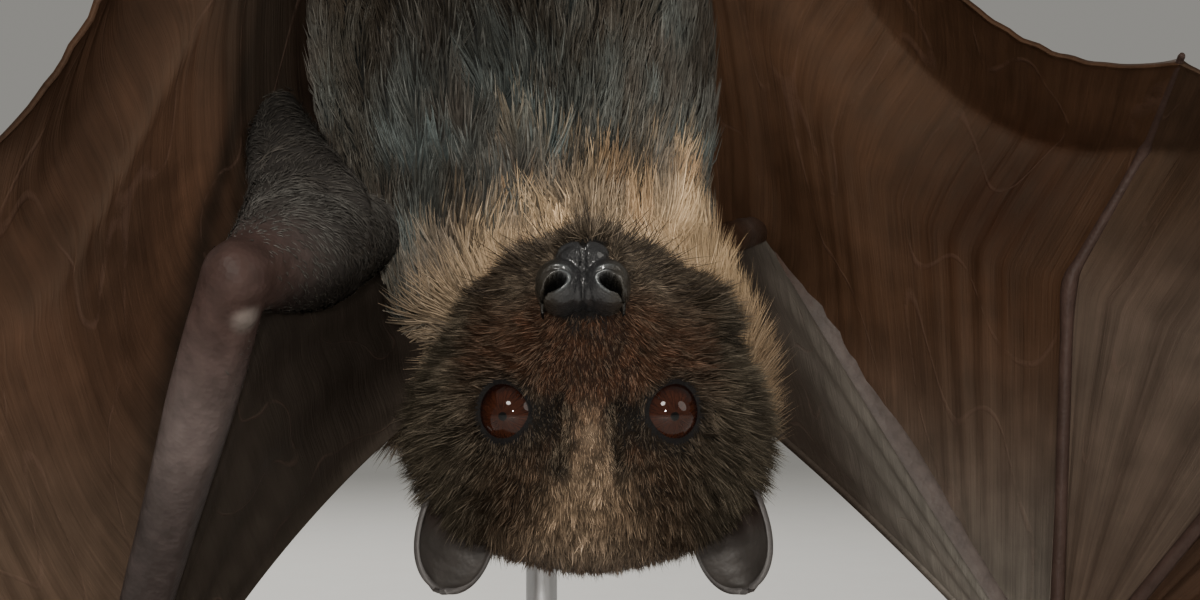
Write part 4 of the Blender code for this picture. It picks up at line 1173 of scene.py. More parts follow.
def build_nose():
    """Wet nose pad: two lobes with comma openings, a groove between them and the lip below."""
    shells = []
    rows = smooth_rows(NOSTRIL_SECTIONS, 16)
    for side in (0.0, -1.0, 1.0):
        slim = 0.97 if side else 0.80
        drop = 0.0 if side else -0.9
        centres = np.array([head_point(row[0] + drop, NOSE_ASIDE + side * NOSTRIL_ASIDE * row[3], row[1])
                            for row in rows])
        shells.append(tube(centres, ASIDE, rows[:, 2] * slim, rows[:, 2] * slim * 1.10, 36, 8))
    # wet skin of the upper lip, over the front of the jaw
    shells.append(ball(head_point(33.0, NOSE_ASIDE, -12.0), 5.4, (0.97, 1.04, 0.68), HEAD_AXES))
    piece = remeshed("nose_skin", shells, GRAIN["nose"], 3)
    points = points_of(piece.data)
    normals = normals_of(piece.data)
    ahead, aside, above = head_local(points)
    aside = aside - NOSE_ASIDE
    sunk = np.zeros(len(points))
    dent = np.zeros(len(points))
    rim = np.zeros(len(points))
    for side in SIDES.values():
        # x and y run outwards and up from the middle of the round part of the opening
        x = aside * side - HOLE_ASIDE
        y = above - HOLE_ABOVE
        tilted = y - 0.28 * x
        hole = np.sqrt((x / 1.95) ** 2 + (tilted / 1.40) ** 2)
        slit = np.sqrt(((x - 1.9) / 1.20) ** 2 + ((y - 0.70 - 0.30 * x) / 0.50) ** 2)
        here = (ahead > LOBE_FRONT) & (aside * side > 0.0) & (x < 3.3)
        reach = np.minimum(hole, slit)
        sunk = np.where(here, np.maximum(sunk, smoothstep(1.06, 0.78, reach)), sunk)
        swell = bump_of(hole, 1.28, 0.13) * smoothstep(0.5, -0.8, x)
        brow = bump_of(y + 3.1 - 0.10 * x * x, 0.0, 0.30) * smoothstep(2.6, 1.2, np.abs(x + 0.6))
        rim = np.where(here, np.maximum(rim, np.maximum(swell, 0.75 * brow)), rim)
        under = bump_of(y + 2.35 - 0.10 * x * x, 0.0, 0.35) * smoothstep(2.8, 1.4, np.abs(x + 0.4))
        dent = np.where(here, np.maximum(dent, under), dent)
    groove = bump_of(aside, 0.0, 0.55) * smoothstep(26.0, 29.0, ahead)
    # fine beaded ridges that run down from the cleft between the nostrils
    beads = 0.6 * np.sin(aside * 7.0) * np.sin(above * 5.0) + np.cos(aside * 6.0)
    beads = beads * bump_of(aside, 0.0, 1.3) * smoothstep(-4.0, -7.0, above)
    # low arch of the lip on each side of the cleft, with a crease between it and the nostril
    wide = np.abs(aside)
    arch = above + 14.0 - 0.28 * (wide - 2.4) ** 2
    lip = bump_of(arch, 0.0, 0.50) * smoothstep(5.0, 3.8, wide) - 0.22 * bump_of(arch, 1.1, 0.40)
    lip = lip * smoothstep(29.0, 31.0, ahead) * smoothstep(-10.4, -11.2, above)
    raised = 0.30 * rim + 0.13 * beads + 0.34 * lip - 0.80 * groove - 0.30 * dent
    points = points + normals * raised[:, None]
    points = points - MUZZLE * (NOSTRIL_DEPTH * sunk)[:, None]
    put_points(piece.data, points)
    # the openings' hollows, which get painted shade in their colour and no wet coat
    hollow = np.clip(sunk * 1.6, 0.0, 1.0)

    def tones(places):
        front, across, _ = head_local(places)
        # pale grey on the rims and brow arcs is a painted highlight
        return layered(places, NOSE_BLACK, (NOSE_RIM_HIGHLIGHT, 0.80 * rim),
                       (NOSE_BROWN, smoothstep(3.0, 7.0, np.abs(across - NOSE_ASIDE))),
                       (NOSE_ROOT, 0.6 * smoothstep(29.0, 25.0, front)),
                       (NOSTRIL_SHADE, hollow))

    finish_melt(piece, "nose_skin", NOSE_SKIN, tones, {"hollow": hollow})
    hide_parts("nose")


def ear_surface(side):
    """Leaf of the ear, from its root to its rounded tip."""
    base = head_point(-12.0, side * 24.6 + 0.8, 10.5)
    outward = ASIDE * side
    grown = unit(CROWN * 0.94 + outward * 0.20 - MUZZLE * 0.06)
    across = unit(outward * 0.86 + MUZZLE * 0.40)
    across = unit(across - grown * np.dot(across, grown))
    facing = unit(np.cross(grown, across))
    if np.dot(facing, MUZZLE) < 0.0:
        facing = -facing

    def surface(u, v):
        spread = 2.0 * u - 1.0
        half = EAR_HALF_WIDTH * (0.80 + 0.45 * v) * np.sqrt(np.maximum(1.0 - v ** 2.4, 0.012))
        cup = 4.0 * (1.0 - 0.55 * v) * (spread ** 2 - 0.4)
        fold = 0.9 * bump_of(spread, 0.35, 0.18) * bump_of(v, 0.25, 0.22)
        ribs = 0.04 * np.sin(v * 46.0) * bump_of(spread, 0.0, 0.6) * smoothstep(0.15, 0.35, v)
        return (base + np.outer(EAR_LENGTH * v - 1.5, grown) + np.outer(half * spread, across)
                + np.outer(cup + fold + ribs, facing))

    return surface


def ear_edge(u, v):
    """Nearness to the ear's rim: 0 on it."""
    return np.minimum(np.minimum(u, 1.0 - u) * 2.0, 1.0 - v)


def build_ear(name, side):
    """Thin leathery ear with a thicker rim and root."""
    def half_thickness(points, u, v):
        return 0.30 + 0.30 * bump_of(ear_edge(u, v), 0.0, 0.05) + 0.5 * smoothstep(0.3, 0.0, v)

    u_places = crowded(56, 1.4)
    v_places = 1.0 - (1.0 - np.linspace(0.0, 1.0, 60)) ** 1.3
    points, faces, u, v = sheet(ear_surface(side), u_places, v_places, half_thickness)
    colour = layered(points, EAR_GREY) * (0.75 + 0.5 * lattice_noise(points, 4.0, 41))[:, None]
    colour = mixed(colour, EAR_ROOT, smoothstep(0.60, 0.25, v))
    colour = mixed(colour, EAR_RIM, 0.6 * smoothstep(0.06, 0.0, ear_edge(u, v)))
    piece = closed_piece("ear_skin_" + name, points, faces, EAR_SKIN, "ear_skin", colours=colour)
    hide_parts("ear_" + name)


# ------------------------------------------------------------------ trunk, legs and wings

# Fold of furred skin from the left upper arm up to the flank: (x, y, z, radius)
FOLD_LINE = np.array(((-48.0, -29.0, 209.0, 5.5), (-53.5, -30.0, 213.5, 10.5), (-56.5, -24.0, 221.0, 10.5),
                      (-56.5, -14.5, 229.5, 8.0), (-54.5, -4.0, 238.0, 5.0), (-52.0, 4.0, 247.0, 2.2)))
WEB_RADII = (5.0, 5.6, 7.4, 9.6)
# Bare point of the left elbow: along the forearm, towards the front, and aside
KNOB = (8.0, 3.6, 3.8)
UPPER_RADII = {"left": (12.0, 7.5, 8.8, 10.2, 8.2, 6.0), "right": (12.0, 8.0, 6.0, 5.0, 4.6, 4.4)}
FOREARM_RADII = {"left": (6.0, 6.3, 5.5, 4.9, 4.3, 4.1, 4.6), "right": (4.8, 5.2, 5.5, 4.9, 4.3, 4.1, 4.6)}
THUMB_RADII = (3.6, 2.7, 2.3, 2.7, 2.3, 2.0)
THUMB_CLAW_LENGTH = 13.0
FINGER_STEPS = 26
# Names of the wing's skins and of the nodes that they replace, in the order of their kind
WING_SKINS = (("side_wing_", "side_membrane_"), ("front_wing_", "front_membrane_"),
              ("finger_wing_45_", "finger_membrane_45_"), ("finger_wing_34_", "finger_membrane_34_"),
              ("finger_wing_23_", "finger_membrane_23_"))
# Skins between fingers: (inner finger, outer finger, bones, marks on each, scallop, billow)
FINGER_PANELS = ((5, 4, 3, FINGER_MARKS, FINGER_MARKS, 0.15, 6.0),
                 (4, 3, 3, FINGER_MARKS, FINGER_MARKS, 0.13, 7.0),
                 (3, 2, 1, (1.0,), (0.5, 1.0), 0.10, 1.0))
# Course of the left wing's long fold, along which its shade is painted: shares along the arm, and shares down
# the skin
FOLD_ALONG = (0.10, 0.21, 0.24, 0.33, 0.43, 0.53, 0.75)
FOLD_DOWN = (0.60, 0.37, 0.32, 0.20, 0.11, 0.09, 0.06)


def arm_shells(joints, name):
    """Shoulder to wrist with its muscles, and on the left the fold of skin beside the upper arm."""
    shoulder, elbow, wrist = joints["arm"]
    way = unit(wrist - elbow)
    shells = [limb(shoulder, elbow, UP, UPPER_RADII[name], 24, 28, wide=1.05)]
    if name == "left":
        rows = smooth_rows(FOLD_LINE, 26)
        shells.append(tube(rows[:, :3], RIGHTWARD, rows[:, 3], rows[:, 3] * 0.8, 26))
        # web of skin that rises from the elbow to the fold
        shells.append(limb(elbow, FOLD_LINE[2, :3], TOWARD, WEB_RADII, 20, 24, wide=0.8))
    shells.append(limb(elbow, wrist, RIGHTWARD, FOREARM_RADII[name], 40, 28, high=0.92))
    side_way = unit(np.cross(way, TOWARD))
    # two long tendons beside the bone
    part = np.linspace(0.08, 0.96, 30)
    spread = np.interp(part, (0.08, 0.96), (5.0, 3.2))
    for offset, thick in ((0.62, 2.2), (-0.58, 2.0)):
        line = (elbow + (wrist - elbow) * part[:, None] + side_way * (offset * spread)[:, None]
                + TOWARD * (spread * 0.62)[:, None])
        shells.append(tube(line, side_way, thick * (1.25 - 0.55 * part), thick * (1.1 - 0.5 * part), 16))
    # point of the elbow, wrist bones
    if name == "left":
        shells.append(ball(elbow_knob(elbow, wrist), 2.3))
    shells.append(ball(elbow, 5.9 if name == "left" else 4.7, segments=28))
    shells.append(ball(wrist, 6.2, segments=28))
    shells.append(ball(wrist + TOWARD * 2.0 - way * 4.0, 4.4))
    return shells


def elbow_knob(elbow, wrist):
    """Place of the bare point of the left elbow."""
    return elbow + unit(wrist - elbow) * KNOB[0] + TOWARD * KNOB[1] + ASIDE * KNOB[2]


def thumb_shells(joints):
    """Thumb with its joint and its tip."""
    start, middle, tip = joints["thumb"]
    size = smooth_radii(THUMB_RADII, 30)
    line = curve_line((start, middle, tip), np.linspace(0.0, 1.0, 30))
    return [tube(line, RIGHTWARD, size, size, 20), ball(middle, 2.9), ball(tip, 2.5)]


def shade_under_arm(points, shoulder, elbow):
    """1 below the line of the upper arm and 0 above it: where painted shade darkens the left arm and its
    hair.
    """
    way = unit(elbow - shoulder)
    off = points - shoulder
    drop = off[:, 2] - (off @ way) * way[2]
    inner = smoothstep(0.0, 12.0, np.linalg.norm(elbow - shoulder) - off @ way)
    return smoothstep(0.0, -7.0, drop) * inner


def skin_arm_tones(joints, name):
    """Colours of the arm's bare skin as a function of place."""
    shoulder, elbow, wrist = joints["arm"]
    knob = elbow_knob(elbow, wrist)

    def tones(points):
        bend = smoothstep(34.0, 4.0, distance(points, elbow))
        near_shoulder = smoothstep(88.0, 60.0, distance(points, shoulder))
        colour = layered(points, ARM_GREY, (ARM_PALE, lattice_noise(points, 8.0, 51)))
        if name == "left":
            at_knob = smoothstep(3.6, 1.6, distance(points, knob))
            colour = mixed(colour, ELBOW_RED, 0.80 * bend)
            colour = mixed(colour, KNOB_GREY, at_knob)
            colour = mixed(colour, SHOULDER_GREY, near_shoulder)
            # painted shade below the upper arm
            colour = colour * (1.0 - 0.65 * shade_under_arm(points, shoulder, elbow))[:, None]
            # painted shade: darker higher up, towards the flank
            colour = colour * (0.35 + 0.65 * smoothstep(242.0, 214.0, points[:, 2]))[:, None]
        else:
            colour = mixed(colour, ARM_DULL, 0.6)
            colour = mixed(colour, ARM_RED, 0.9 * np.maximum(near_shoulder, bend))
        return colour * (0.8 + 0.4 * lattice_noise(points, 2.0, 52))[:, None]

    return tones


def leg_tones(points):
    """Bare skin of the shins and feet."""
    return layered(points, LEG_GREY, (LEG_PALE, lattice_noise(points, 3.0, 71)))


def build_body_skin(wings):
    """Trunk, neck, shoulders, thighs and shins melted into one skin."""
    rows = smooth_rows(BODY_SECTIONS, 90)
    shells = [tube(rows[:, :3], RIGHTWARD, rows[:, 3] - rows[:, 5], rows[:, 4] - rows[:, 5], 72)]
    for name, side in SIDES.items():
        shoulder = wings[name]["arm"][0]
        shells.append(ball(shoulder + np.array((-side * 6.0, -2.0, 0.0)), 17.0, (1.0, 0.95, 1.1)))
        hip = mirror_point(HIP, side)
        knee = mirror_point(KNEE, side)
        ankle = mirror_point(ANKLE, side)
        shells.append(limb(hip, knee, RIGHTWARD, THIGH_RADII, 16, 28))
        shells.append(limb(knee, ankle, RIGHTWARD, SHIN_RADII, 16, 24))
        shells.append(ball(knee, 6.6))
    piece = remeshed("body_skin", shells, GRAIN["body"], 5)

    def tones(points):
        bare = smoothstep(368.0, 404.0, points[:, 2])
        return mixed(body_tones(points) * 0.85, leg_tones(points) * 1.4, bare)

    finish_melt(piece, "body_skin", FURRED_SKIN, tones)
    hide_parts("trunk", "neck", "thigh_left", "thigh_right", "shin_left", "shin_right")
    return piece


def finger_tube(points):
    """Finger with knuckles; returns a shell."""
    bones = len(points) - 1
    count = FINGER_STEPS * bones
    places = np.linspace(0.0, bones, count)
    index = np.minimum(places.astype(int), bones - 1)
    part = places - index
    table = np.array(points)
    line = table[index] + (table[index + 1] - table[index]) * part[:, None]
    smoothed = line.copy()
    for _ in range(2):
        smoothed[1:-1] = (smoothed[:-2] + smoothed[1:-1] * 2.0 + smoothed[2:]) / 4.0
    near = np.minimum(part, 1.0 - part) * FINGER_STEPS
    knuckle = 1.0 + 0.34 * bump_of(near, 0.0, 2.0) * (places > 0.3) * (places < bones - 0.3)
    size = 1.9 * (1.0 - 0.55 * places / bones) * knuckle
    size = np.maximum(size, 0.72)
    return tube(smoothed, unit(np.array((0.3, 1.0, 0.1))), size, size, 14, 4)


def wing_tones(points, u, v, kind, name):
    """Colours of the wing skin: warm brown, darker by the body and bluish grey along the arm, with painted
    shade in folds and by the neck, and a painted glow of back light.
    """
    x = points[:, 0]
    z = points[:, 2]
    blotch = lattice_noise(points, 26.0, 61)
    small = lattice_noise(points, 6.0, 62)
    on_side = kind < 0.5
    on_front = np.abs(kind - 1.0) < 0.5
    if name == "left":
        # painted shade along the left wing's long fold and inside it, and in the cleft by the flank
        fold_at = np.interp(u, FOLD_ALONG, FOLD_DOWN)
        fold = bump_of(v, fold_at, 0.050) * smoothstep(0.85, 0.55, u) * on_side
        inner = smoothstep(0.03, -0.03, v - fold_at + 0.05) * smoothstep(0.55, 0.40, u) * on_side
        low = smoothstep(196.0, 140.0, z) * (kind < 1.5)
        cleft = smoothstep(-74.0, -60.0, x) * smoothstep(208.0, 226.0, z)
        layers = ((WING_DARK * 0.6, 0.90 * fold), (FOLD_SHADE, 0.85 * inner), (LOW_BROWN, 0.75 * low),
                  (FRONT_SHADE_GREY, 0.85 * on_front), (WING_DARK * 0.45, 0.9 * cleft * on_side))
    else:
        low = smoothstep(205.0, 120.0, z) * smoothstep(0.75, 0.30, v) * (kind < 1.5)
        # painted shade on the right front skin near the neck
        near = smoothstep(112.0, 72.0, x)
        # painted glow of back light through the right wing's skin
        glow = bump_of(u, 0.86, 0.12) * bump_of(v, 0.62, 0.19) * on_side
        shaded = smoothstep(192.0, 226.0, z) * (kind > 1.5)
        layers = ((SLATE * 1.2, 0.80 * low), (SLATE * 1.8, 0.80 * on_front),
                  (WING_DARK * 1.6, 0.85 * near * on_front), (WARM_WING, 0.5 * on_side * (1.0 - low)),
                  (BACKLIT_RED, 0.92 * glow), (PALE_WING, 0.6 * ((kind > 1.5) & (kind < 3.0))),
                  (SHADED_WING, 0.75 * shaded))
    brown = np.clip(0.55 + 0.75 * (blotch - 0.3), 0.0, 1.0)
    body_side = smoothstep(0.22, 0.03, u) * on_side
    colour = layered(points, WING_DARK, (WING_BROWN, brown), *layers, (WING_DARK, 0.8 * body_side))
    return colour * (0.82 + 0.36 * small)[:, None]


def swollen(points, edge, reach, power=1.2):
    """Swelling of a skin where it meets a bone or a free edge: 1 on that edge and less away from it."""
    return np.exp(-(np.linalg.norm(points - edge, axis=-1) / reach) ** power)


# Half thickness and relief of the wing's skins: u runs across from one bone to the next, v down to the edge

def side_thickness(points, u, v):
    half = 0.32 + 2.6 * swollen(points, points[0:1], 3.6)
    half = half + 1.3 * swollen(points, points[:, -1:], 1.6) * (1.0 - 0.6 * v)
    return half + 0.35 * swollen(points, points[-1:], 0.9, 2)


def side_relief(points, u, v):
    still = smoothstep(0.0, 0.12, u) * smoothstep(1.0, 0.90, u) * smoothstep(0.0, 0.10, v)
    bands = 0.38 * np.sin(u * 150.0 + 2.5 * np.sin(v * 4.0)) * (0.5 + 0.5 * np.sin(u * 23.0 + 1.0))
    folds = 0.7 * np.sin(u * 30.0 + 1.6 * np.sin(v * 3.0 + 0.6)) * (1.0 - v) ** 1.5
    return (bands + folds) * still


def front_thickness(points, u, v):
    return 0.32 + 2.4 * swollen(points, points[0:1], 3.4) + 0.5 * swollen(points, points[-1:], 1.1, 2)


def front_relief(points, u, v):
    ripples = 0.5 * np.sin(v * 22.0 + 2.0 * np.sin(u * 5.0))
    return ripples * smoothstep(0.0, 0.2, v) * smoothstep(1.0, 0.85, v)


def finger_thickness(points, u, v):
    half = 0.30 + 1.2 * swollen(points, points[:, 0:1], 1.5) * (1.0 - 0.65 * v)
    half = half + 1.2 * swollen(points, points[:, -1:], 1.5) * (1.0 - 0.65 * v)
    return half + 0.3 * swollen(points, points[-1:], 0.9, 2)


def finger_relief(points, u, v):
    still = smoothstep(0.0, 0.15, u) * smoothstep(1.0, 0.85, u) * smoothstep(0.0, 0.2, v)
    return (0.9 * np.sin(u * 24.0 + 2.0 * v) + 0.3 * np.sin(u * 90.0)) * still


def tail_thickness(points, u, v):
    return np.full(points.shape[:2], 0.38)


def skin_piece(label, node, name, shell, kind):
    """Wing skin made from a sheet, with its colours and the fields that its look reads."""
    points, faces, u, v = shell
    kinds = np.full(len(points), kind)
    piece = closed_piece(label + name, points, faces, WING_SKIN, "wing_skin",
                         colours=wing_tones(points, u, v, kinds, name),
                         fields={"across": u, "down": v, "kind": kinds})
    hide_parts(node + name)


def build_wing(name, joints):
    """Five skins, four fingers, the arm with its thumb, and the thumb's claw."""
    side_u = crowded(112, 1.5)
    side_v = crowded(92, 1.5)
    sheets = [sheet(side_membrane_surface(joints, name), side_u, side_v, side_thickness, side_relief),
              sheet(front_membrane_surface(joints, name), crowded(80), crowded(36), front_thickness,
                    front_relief)]
    for inner, outer, bones, inner_marks, outer_marks, scallop, billow in FINGER_PANELS:
        surface = finger_membrane_surface(joints[inner][:bones + 1], joints[outer], inner_marks, outer_marks,
                                          scallop, billow)
        sheets.append(sheet(surface, crowded(44), crowded(90 if bones == 3 else 44), finger_thickness,
                            finger_relief))
    for kind, (shell, (label, node)) in enumerate(zip(sheets, WING_SKINS)):
        skin_piece(label, node, name, shell, float(kind))
    tones = skin_arm_tones(joints, name)
    points, faces = join_shells([finger_tube(joints[digit]) for digit in (2, 3, 4, 5)])
    piece = closed_piece("fingers_" + name, points, faces, ARM_SKIN, "arm_skin",
                         colours=tones(points) * FINGER_TINT)
    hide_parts(*("finger_%d_%s" % (digit, name) for digit in (2, 3, 4, 5)))
    shells = arm_shells(joints, name) + thumb_shells(joints)
    piece = remeshed("arm_skin_" + name, shells, GRAIN["arm"], 4)
    finish_melt(piece, "arm_skin_" + name, ARM_SKIN, tones)
    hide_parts("upper_arm_" + name, "forearm_" + name, "wrist_" + name, "thumb_" + name)
    build_thumb_claw(name, joints)
    return piece


def build_thumb_claw(name, joints):
    """Claw that curls away from the thumb's last bone."""
    tip = joints["thumb"][2]
    ahead = unit(tip - joints["thumb"][1])
    curl = np.array((0.0, 0.55, 0.83))
    curl = unit(curl - ahead * np.dot(curl, ahead))
    start = tip - ahead * 0.5
    reach = THUMB_CLAW_LENGTH * 0.68
    part = np.linspace(0.0, 1.0, 20)
    angle = part * math.radians(95.0)
    line = (start + np.outer(np.sin(angle) * reach, ahead)
            + np.outer((1.0 - np.cos(angle)) * reach, curl))
    thick = 2.1 * (1.0 - part) ** 0.75 + 0.16
    points, faces = tube(line, np.cross(ahead, curl), thick * 0.68, thick, 14, 4)
    piece = closed_piece("claw_thumb_" + name, points, faces, HORN, "claw_horn")
    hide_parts("thumb_claw_" + name)


# Toes and claws round the perch, in degrees from its back
TOE_WRAP = PERCH_RADIUS * 1.03 + 2.9
TOE_GAP = 3.5
TOE_START = 14.0
TOE_STOP = 124.0
TOE_LEADS = (-6.0, 1.0, 3.0, 2.0, -3.0)
CLAW_START = 118.0
CLAW_SWEEP = 66.0
# Sole: (angle round the perch, half width, half height)
SOLE_SECTIONS = ((-28.0, 4.5, 3.3), (0.0, 5.4, 2.9), (30.0, 6.8, 2.5))


def build_foot(name, side):
    """Sole behind the perch, toes that hook over it, their claws, and the narrow skin along the leg."""
    ankle = mirror_point(ANKLE, side)
    knee = mirror_point(KNEE, side)

    def round_perch(angle, extra, x):
        turn = math.radians(angle)
        reach = TOE_WRAP + extra
        return np.array((x, reach * math.cos(turn), PERCH_Z + reach * math.sin(turn)))

    inside_shin = ankle + unit(knee - ankle) * 4.0
    sole_rows = [(*inside_shin, 3.0, 3.0), (*ankle, 4.05, 4.05)]
    for angle, width, height in SOLE_SECTIONS:
        sole_rows.append((*round_perch(angle, 1.0, ankle[0]), width, height))
    rows = smooth_rows(sole_rows, 24)
    shells = [tube(rows[:, :3], RIGHTWARD, rows[:, 3], rows[:, 4], 28)]
    claws = []
    part = np.linspace(0.0, 1.0, 26)
    joint = 0.28 * (bump_of(part, 0.42, 0.09) + bump_of(part, 0.78, 0.08))
    size = 1.55 - 0.15 * part + joint
    along = np.linspace(0.0, 1.0, 18)
    thick = 1.55 * (1.0 - along) ** 0.8 + 0.18
    for toe, lead in enumerate(TOE_LEADS):
        aside = (toe - 2.0) * TOE_GAP
        line = []
        for angle in np.linspace(TOE_START, TOE_STOP + lead, 26):
            fan = 0.55 + 0.45 * min((angle - TOE_START) / 60.0, 1.0)
            line.append(round_perch(angle, 0.0, ankle[0] + aside * fan))
        shells.append(tube(line, RIGHTWARD, size, size, 16))
        hook = []
        for angle in np.linspace(CLAW_START, CLAW_START + CLAW_SWEEP, 18):
            arch = 1.5 * math.sin(math.pi * (angle - CLAW_START) / CLAW_SWEEP)
            hook.append(round_perch(angle + lead, arch, ankle[0] + aside))
        claws.append(tube(hook, RIGHTWARD, thick * 0.70, thick, 12, 4))
    piece = remeshed("foot_skin_" + name, shells, GRAIN["foot"], 3)
    finish_melt(piece, "foot_skin_" + name, FOOT_SKIN, leg_tones)
    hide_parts("foot_" + name)
    points, faces = join_shells(claws)
    closed_piece("claws_foot_" + name, points, faces, HORN, "claw_horn")
    shell = sheet(tail_membrane_surface(side), crowded(20), np.linspace(0.0, 1.0, 50), tail_thickness)
    skin_piece("tail_skin_", "tail_membrane_", name, shell, 6.0)


# ------------------------------------------------------------------ stand and perch

def build_perch():
    """Cut branch with bark furrows and clean sawn ends."""
    count = 190
    sides = 84
    part = np.linspace(-1.0, 1.0, count)
    knot = bump_of(part, 0.55, 0.16)
    radius = PERCH_RADIUS * (1.0 - 0.07 * part + 0.08 * knot)
    turn = np.linspace(0.0, 2.0 * math.pi, sides, endpoint=False)
    x = np.repeat(part * PERCH_HALF_LENGTH, sides)
    y = np.tile(np.cos(turn), count)
    z = np.tile(np.sin(turn), count)
    shape = np.stack((x * 0.28, y * 12.0, z * 12.0), axis=-1)
    rough = lattice_noise(shape, 2.6, 81) * 0.9 + lattice_noise(shape, 1.1, 82) * 0.45
    size = np.repeat(radius, sides) - 1.0 + rough
    sag = PERCH_SAG * np.repeat(part, sides) ** 2
    points = np.stack((x, y * size, PERCH_Z - sag + z * size), axis=-1)
    faces = [tuple(face) for face in grid_faces(count, sides, True)]
    first = np.arange(sides)[::-1]
    last = np.arange(sides) + (count - 1) * sides
    piece = closed_piece("perch_bark", points, faces + [tuple(first), tuple(last)], bark_look(), "bark")
    piece.data.materials.append(cut_wood_look())
    for face in piece.data.polygons[-2:]:
        face.material_index = 1
        face.use_smooth = False
    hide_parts("perch")


def build_base():
    """Board with round corners and softly eased edges."""
    bpy.ops.object.select_all(action="DESELECT")
    bpy.ops.mesh.primitive_cube_add(size=1.0, location=(0.0, 0.0, 0.0))
    piece = bpy.context.active_object
    piece.name = "base_board"
    bpy.ops.transform.resize(value=(BASE_WIDTH * MM, BASE_DEPTH * MM, BASE_TOP * MM))
    bpy.ops.transform.translate(value=(0.0, 0.0, 0.5 * BASE_TOP * MM))
    bpy.ops.object.transform_apply(location=True, rotation=True, scale=True)
    mesh = bmesh.new()
    mesh.from_mesh(piece.data)
    uprights = [edge for edge in mesh.edges if abs(edge.verts[0].co.z - edge.verts[1].co.z) > 0.001]
    bmesh.ops.bevel(mesh, geom=uprights, offset=0.024, segments=20, affect="EDGES", profile=0.5)
    rims = [edge for edge in mesh.edges if abs(edge.calc_face_angle(0.0)) > 1.0]
    bmesh.ops.bevel(mesh, geom=rims, offset=0.0025, segments=5, affect="EDGES", profile=0.5)
    mesh.to_mesh(piece.data)
    mesh.free()
    bpy.ops.object.shade_smooth_by_angle(angle=math.radians(35.0))
    settle(piece, board_look())
    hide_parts("stand_base")


def build_rods(look):
    """Two bent rods, each with a turned collar where it stands on the board."""
    top = PERCH_Z - 1.0
    bend_z = top - ROD_BEND
    bend_y = ROD_Y - ROD_BEND
    for name, side in SIDES.items():
        x = side * ROD_X
        line = [(x, ROD_Y, BASE_TOP - 4.0)]
        line += [(x, ROD_Y, height) for height in np.linspace(BASE_TOP, bend_z, 24)]
        for angle in np.linspace(0.0, math.pi / 2.0, 22)[1:]:
            line.append((x, bend_y + ROD_BEND * math.cos(angle), bend_z + ROD_BEND * math.sin(angle)))
        line += [(x, y, top) for y in np.linspace(bend_y, 6.0, 14)[1:]]
        size = np.full(len(line), ROD_RADIUS)
        shells = [tube(line, RIGHTWARD, size, size, 36, 3)]
        collar = np.array([(x, ROD_Y, BASE_TOP + height) for height, _ in ROD_COLLAR])
        size = np.array([radius for _, radius in ROD_COLLAR])
        shells.append(tube(collar, RIGHTWARD, size, size, 48, 1))
        points, faces = join_shells(shells)
        piece = closed_piece("stand_steel_rod_" + name, points, faces, look, "stand_steel")
        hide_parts("stand_rod_" + name)


# ------------------------------------------------------------------ coat

# Corners of a lock's section: (aside, up), in its half widths
LOCK_SECTION = ((-1.0, -0.35), (1.0, -0.35), (0.0, 0.45))
# A lock's triangles, its corners' shares of the tip's colour, and their spots in the lock's own patch
STRAIGHT_LOCK = (
    np.array(((0, 1, 2), (1, 0, 3), (2, 1, 3), (0, 2, 3))),
    np.array((0.0, 0.0, 0.1, 1.0)),
    np.array(((0.0, 0.0), (1.0, 0.0), (0.5, 0.3), (0.5, 1.0))),
)
BENT_LOCK = (
    np.array(((0, 1, 2), (0, 3, 4), (0, 4, 1), (1, 4, 5), (1, 5, 2), (2, 5, 3), (2, 3, 0), (4, 3, 6),
              (5, 4, 6), (3, 5, 6))),
    np.array((0.0, 0.0, 0.05, 0.5, 0.5, 0.6, 1.0)),
    np.array(((0.0, 0.0), (1.0, 0.0), (0.5, 0.2), (0.0, 0.5), (1.0, 0.5), (0.5, 0.6), (0.5, 1.0))),
)
MOST_TRIANGLES = 185000
PATCH_SIZE = 0.003
# Least and most that a hair stands off the skin, as a share of its length
LIFT_RANGE = (0.08, 0.8)
FRINGE_FALL = (-0.8, -0.2, -1.9)
# Shares of the upper arm where its hair ends and where it is full
ARM_HAIR_ENDS = {"left": (1.04, 0.60), "right": (0.46, 0.30)}


def scatter(piece, count, weight, seed):
    """Roots spread over a skin by area and weight; returns places and smooth normals in millimetres."""
    data = piece.data
    data.calc_loop_triangles()
    corners = np.empty(len(data.loop_triangles) * 3, dtype=np.int32)
    data.loop_triangles.foreach_get("vertices", corners)
    corners = corners.reshape(-1, 3)
    points = points_of(data) / MM
    normals = normals_of(data)
    a, b, c = (points[corners[:, index]] for index in range(3))
    area = 0.5 * np.linalg.norm(np.cross(b - a, c - a), axis=1)
    share = area * weight((a + b + c) / 3.0, unit(normals[corners].sum(axis=1)))
    chance = np.random.default_rng(seed)
    picked = chance.choice(len(corners), size=count, p=share / share.sum())
    first = chance.random(count)
    second = chance.random(count)
    flip = first + second > 1.0
    first[flip] = 1.0 - first[flip]
    second[flip] = 1.0 - second[flip]
    third = 1.0 - first - second
    chosen = corners[picked]
    roots = (points[chosen[:, 0]] * third[:, None] + points[chosen[:, 1]] * first[:, None]
             + points[chosen[:, 2]] * second[:, None])
    facing = unit(normals[chosen[:, 0]] * third[:, None] + normals[chosen[:, 1]] * first[:, None]
                  + normals[chosen[:, 2]] * second[:, None])
    return roots, facing, chance


def swirl(points, size, seed):
    """Smooth random vectors, for the tufts that hairs gather into."""
    return np.stack([lattice_noise(points, size, seed + index) - 0.5 for index in range(3)], axis=-1) * 2.0


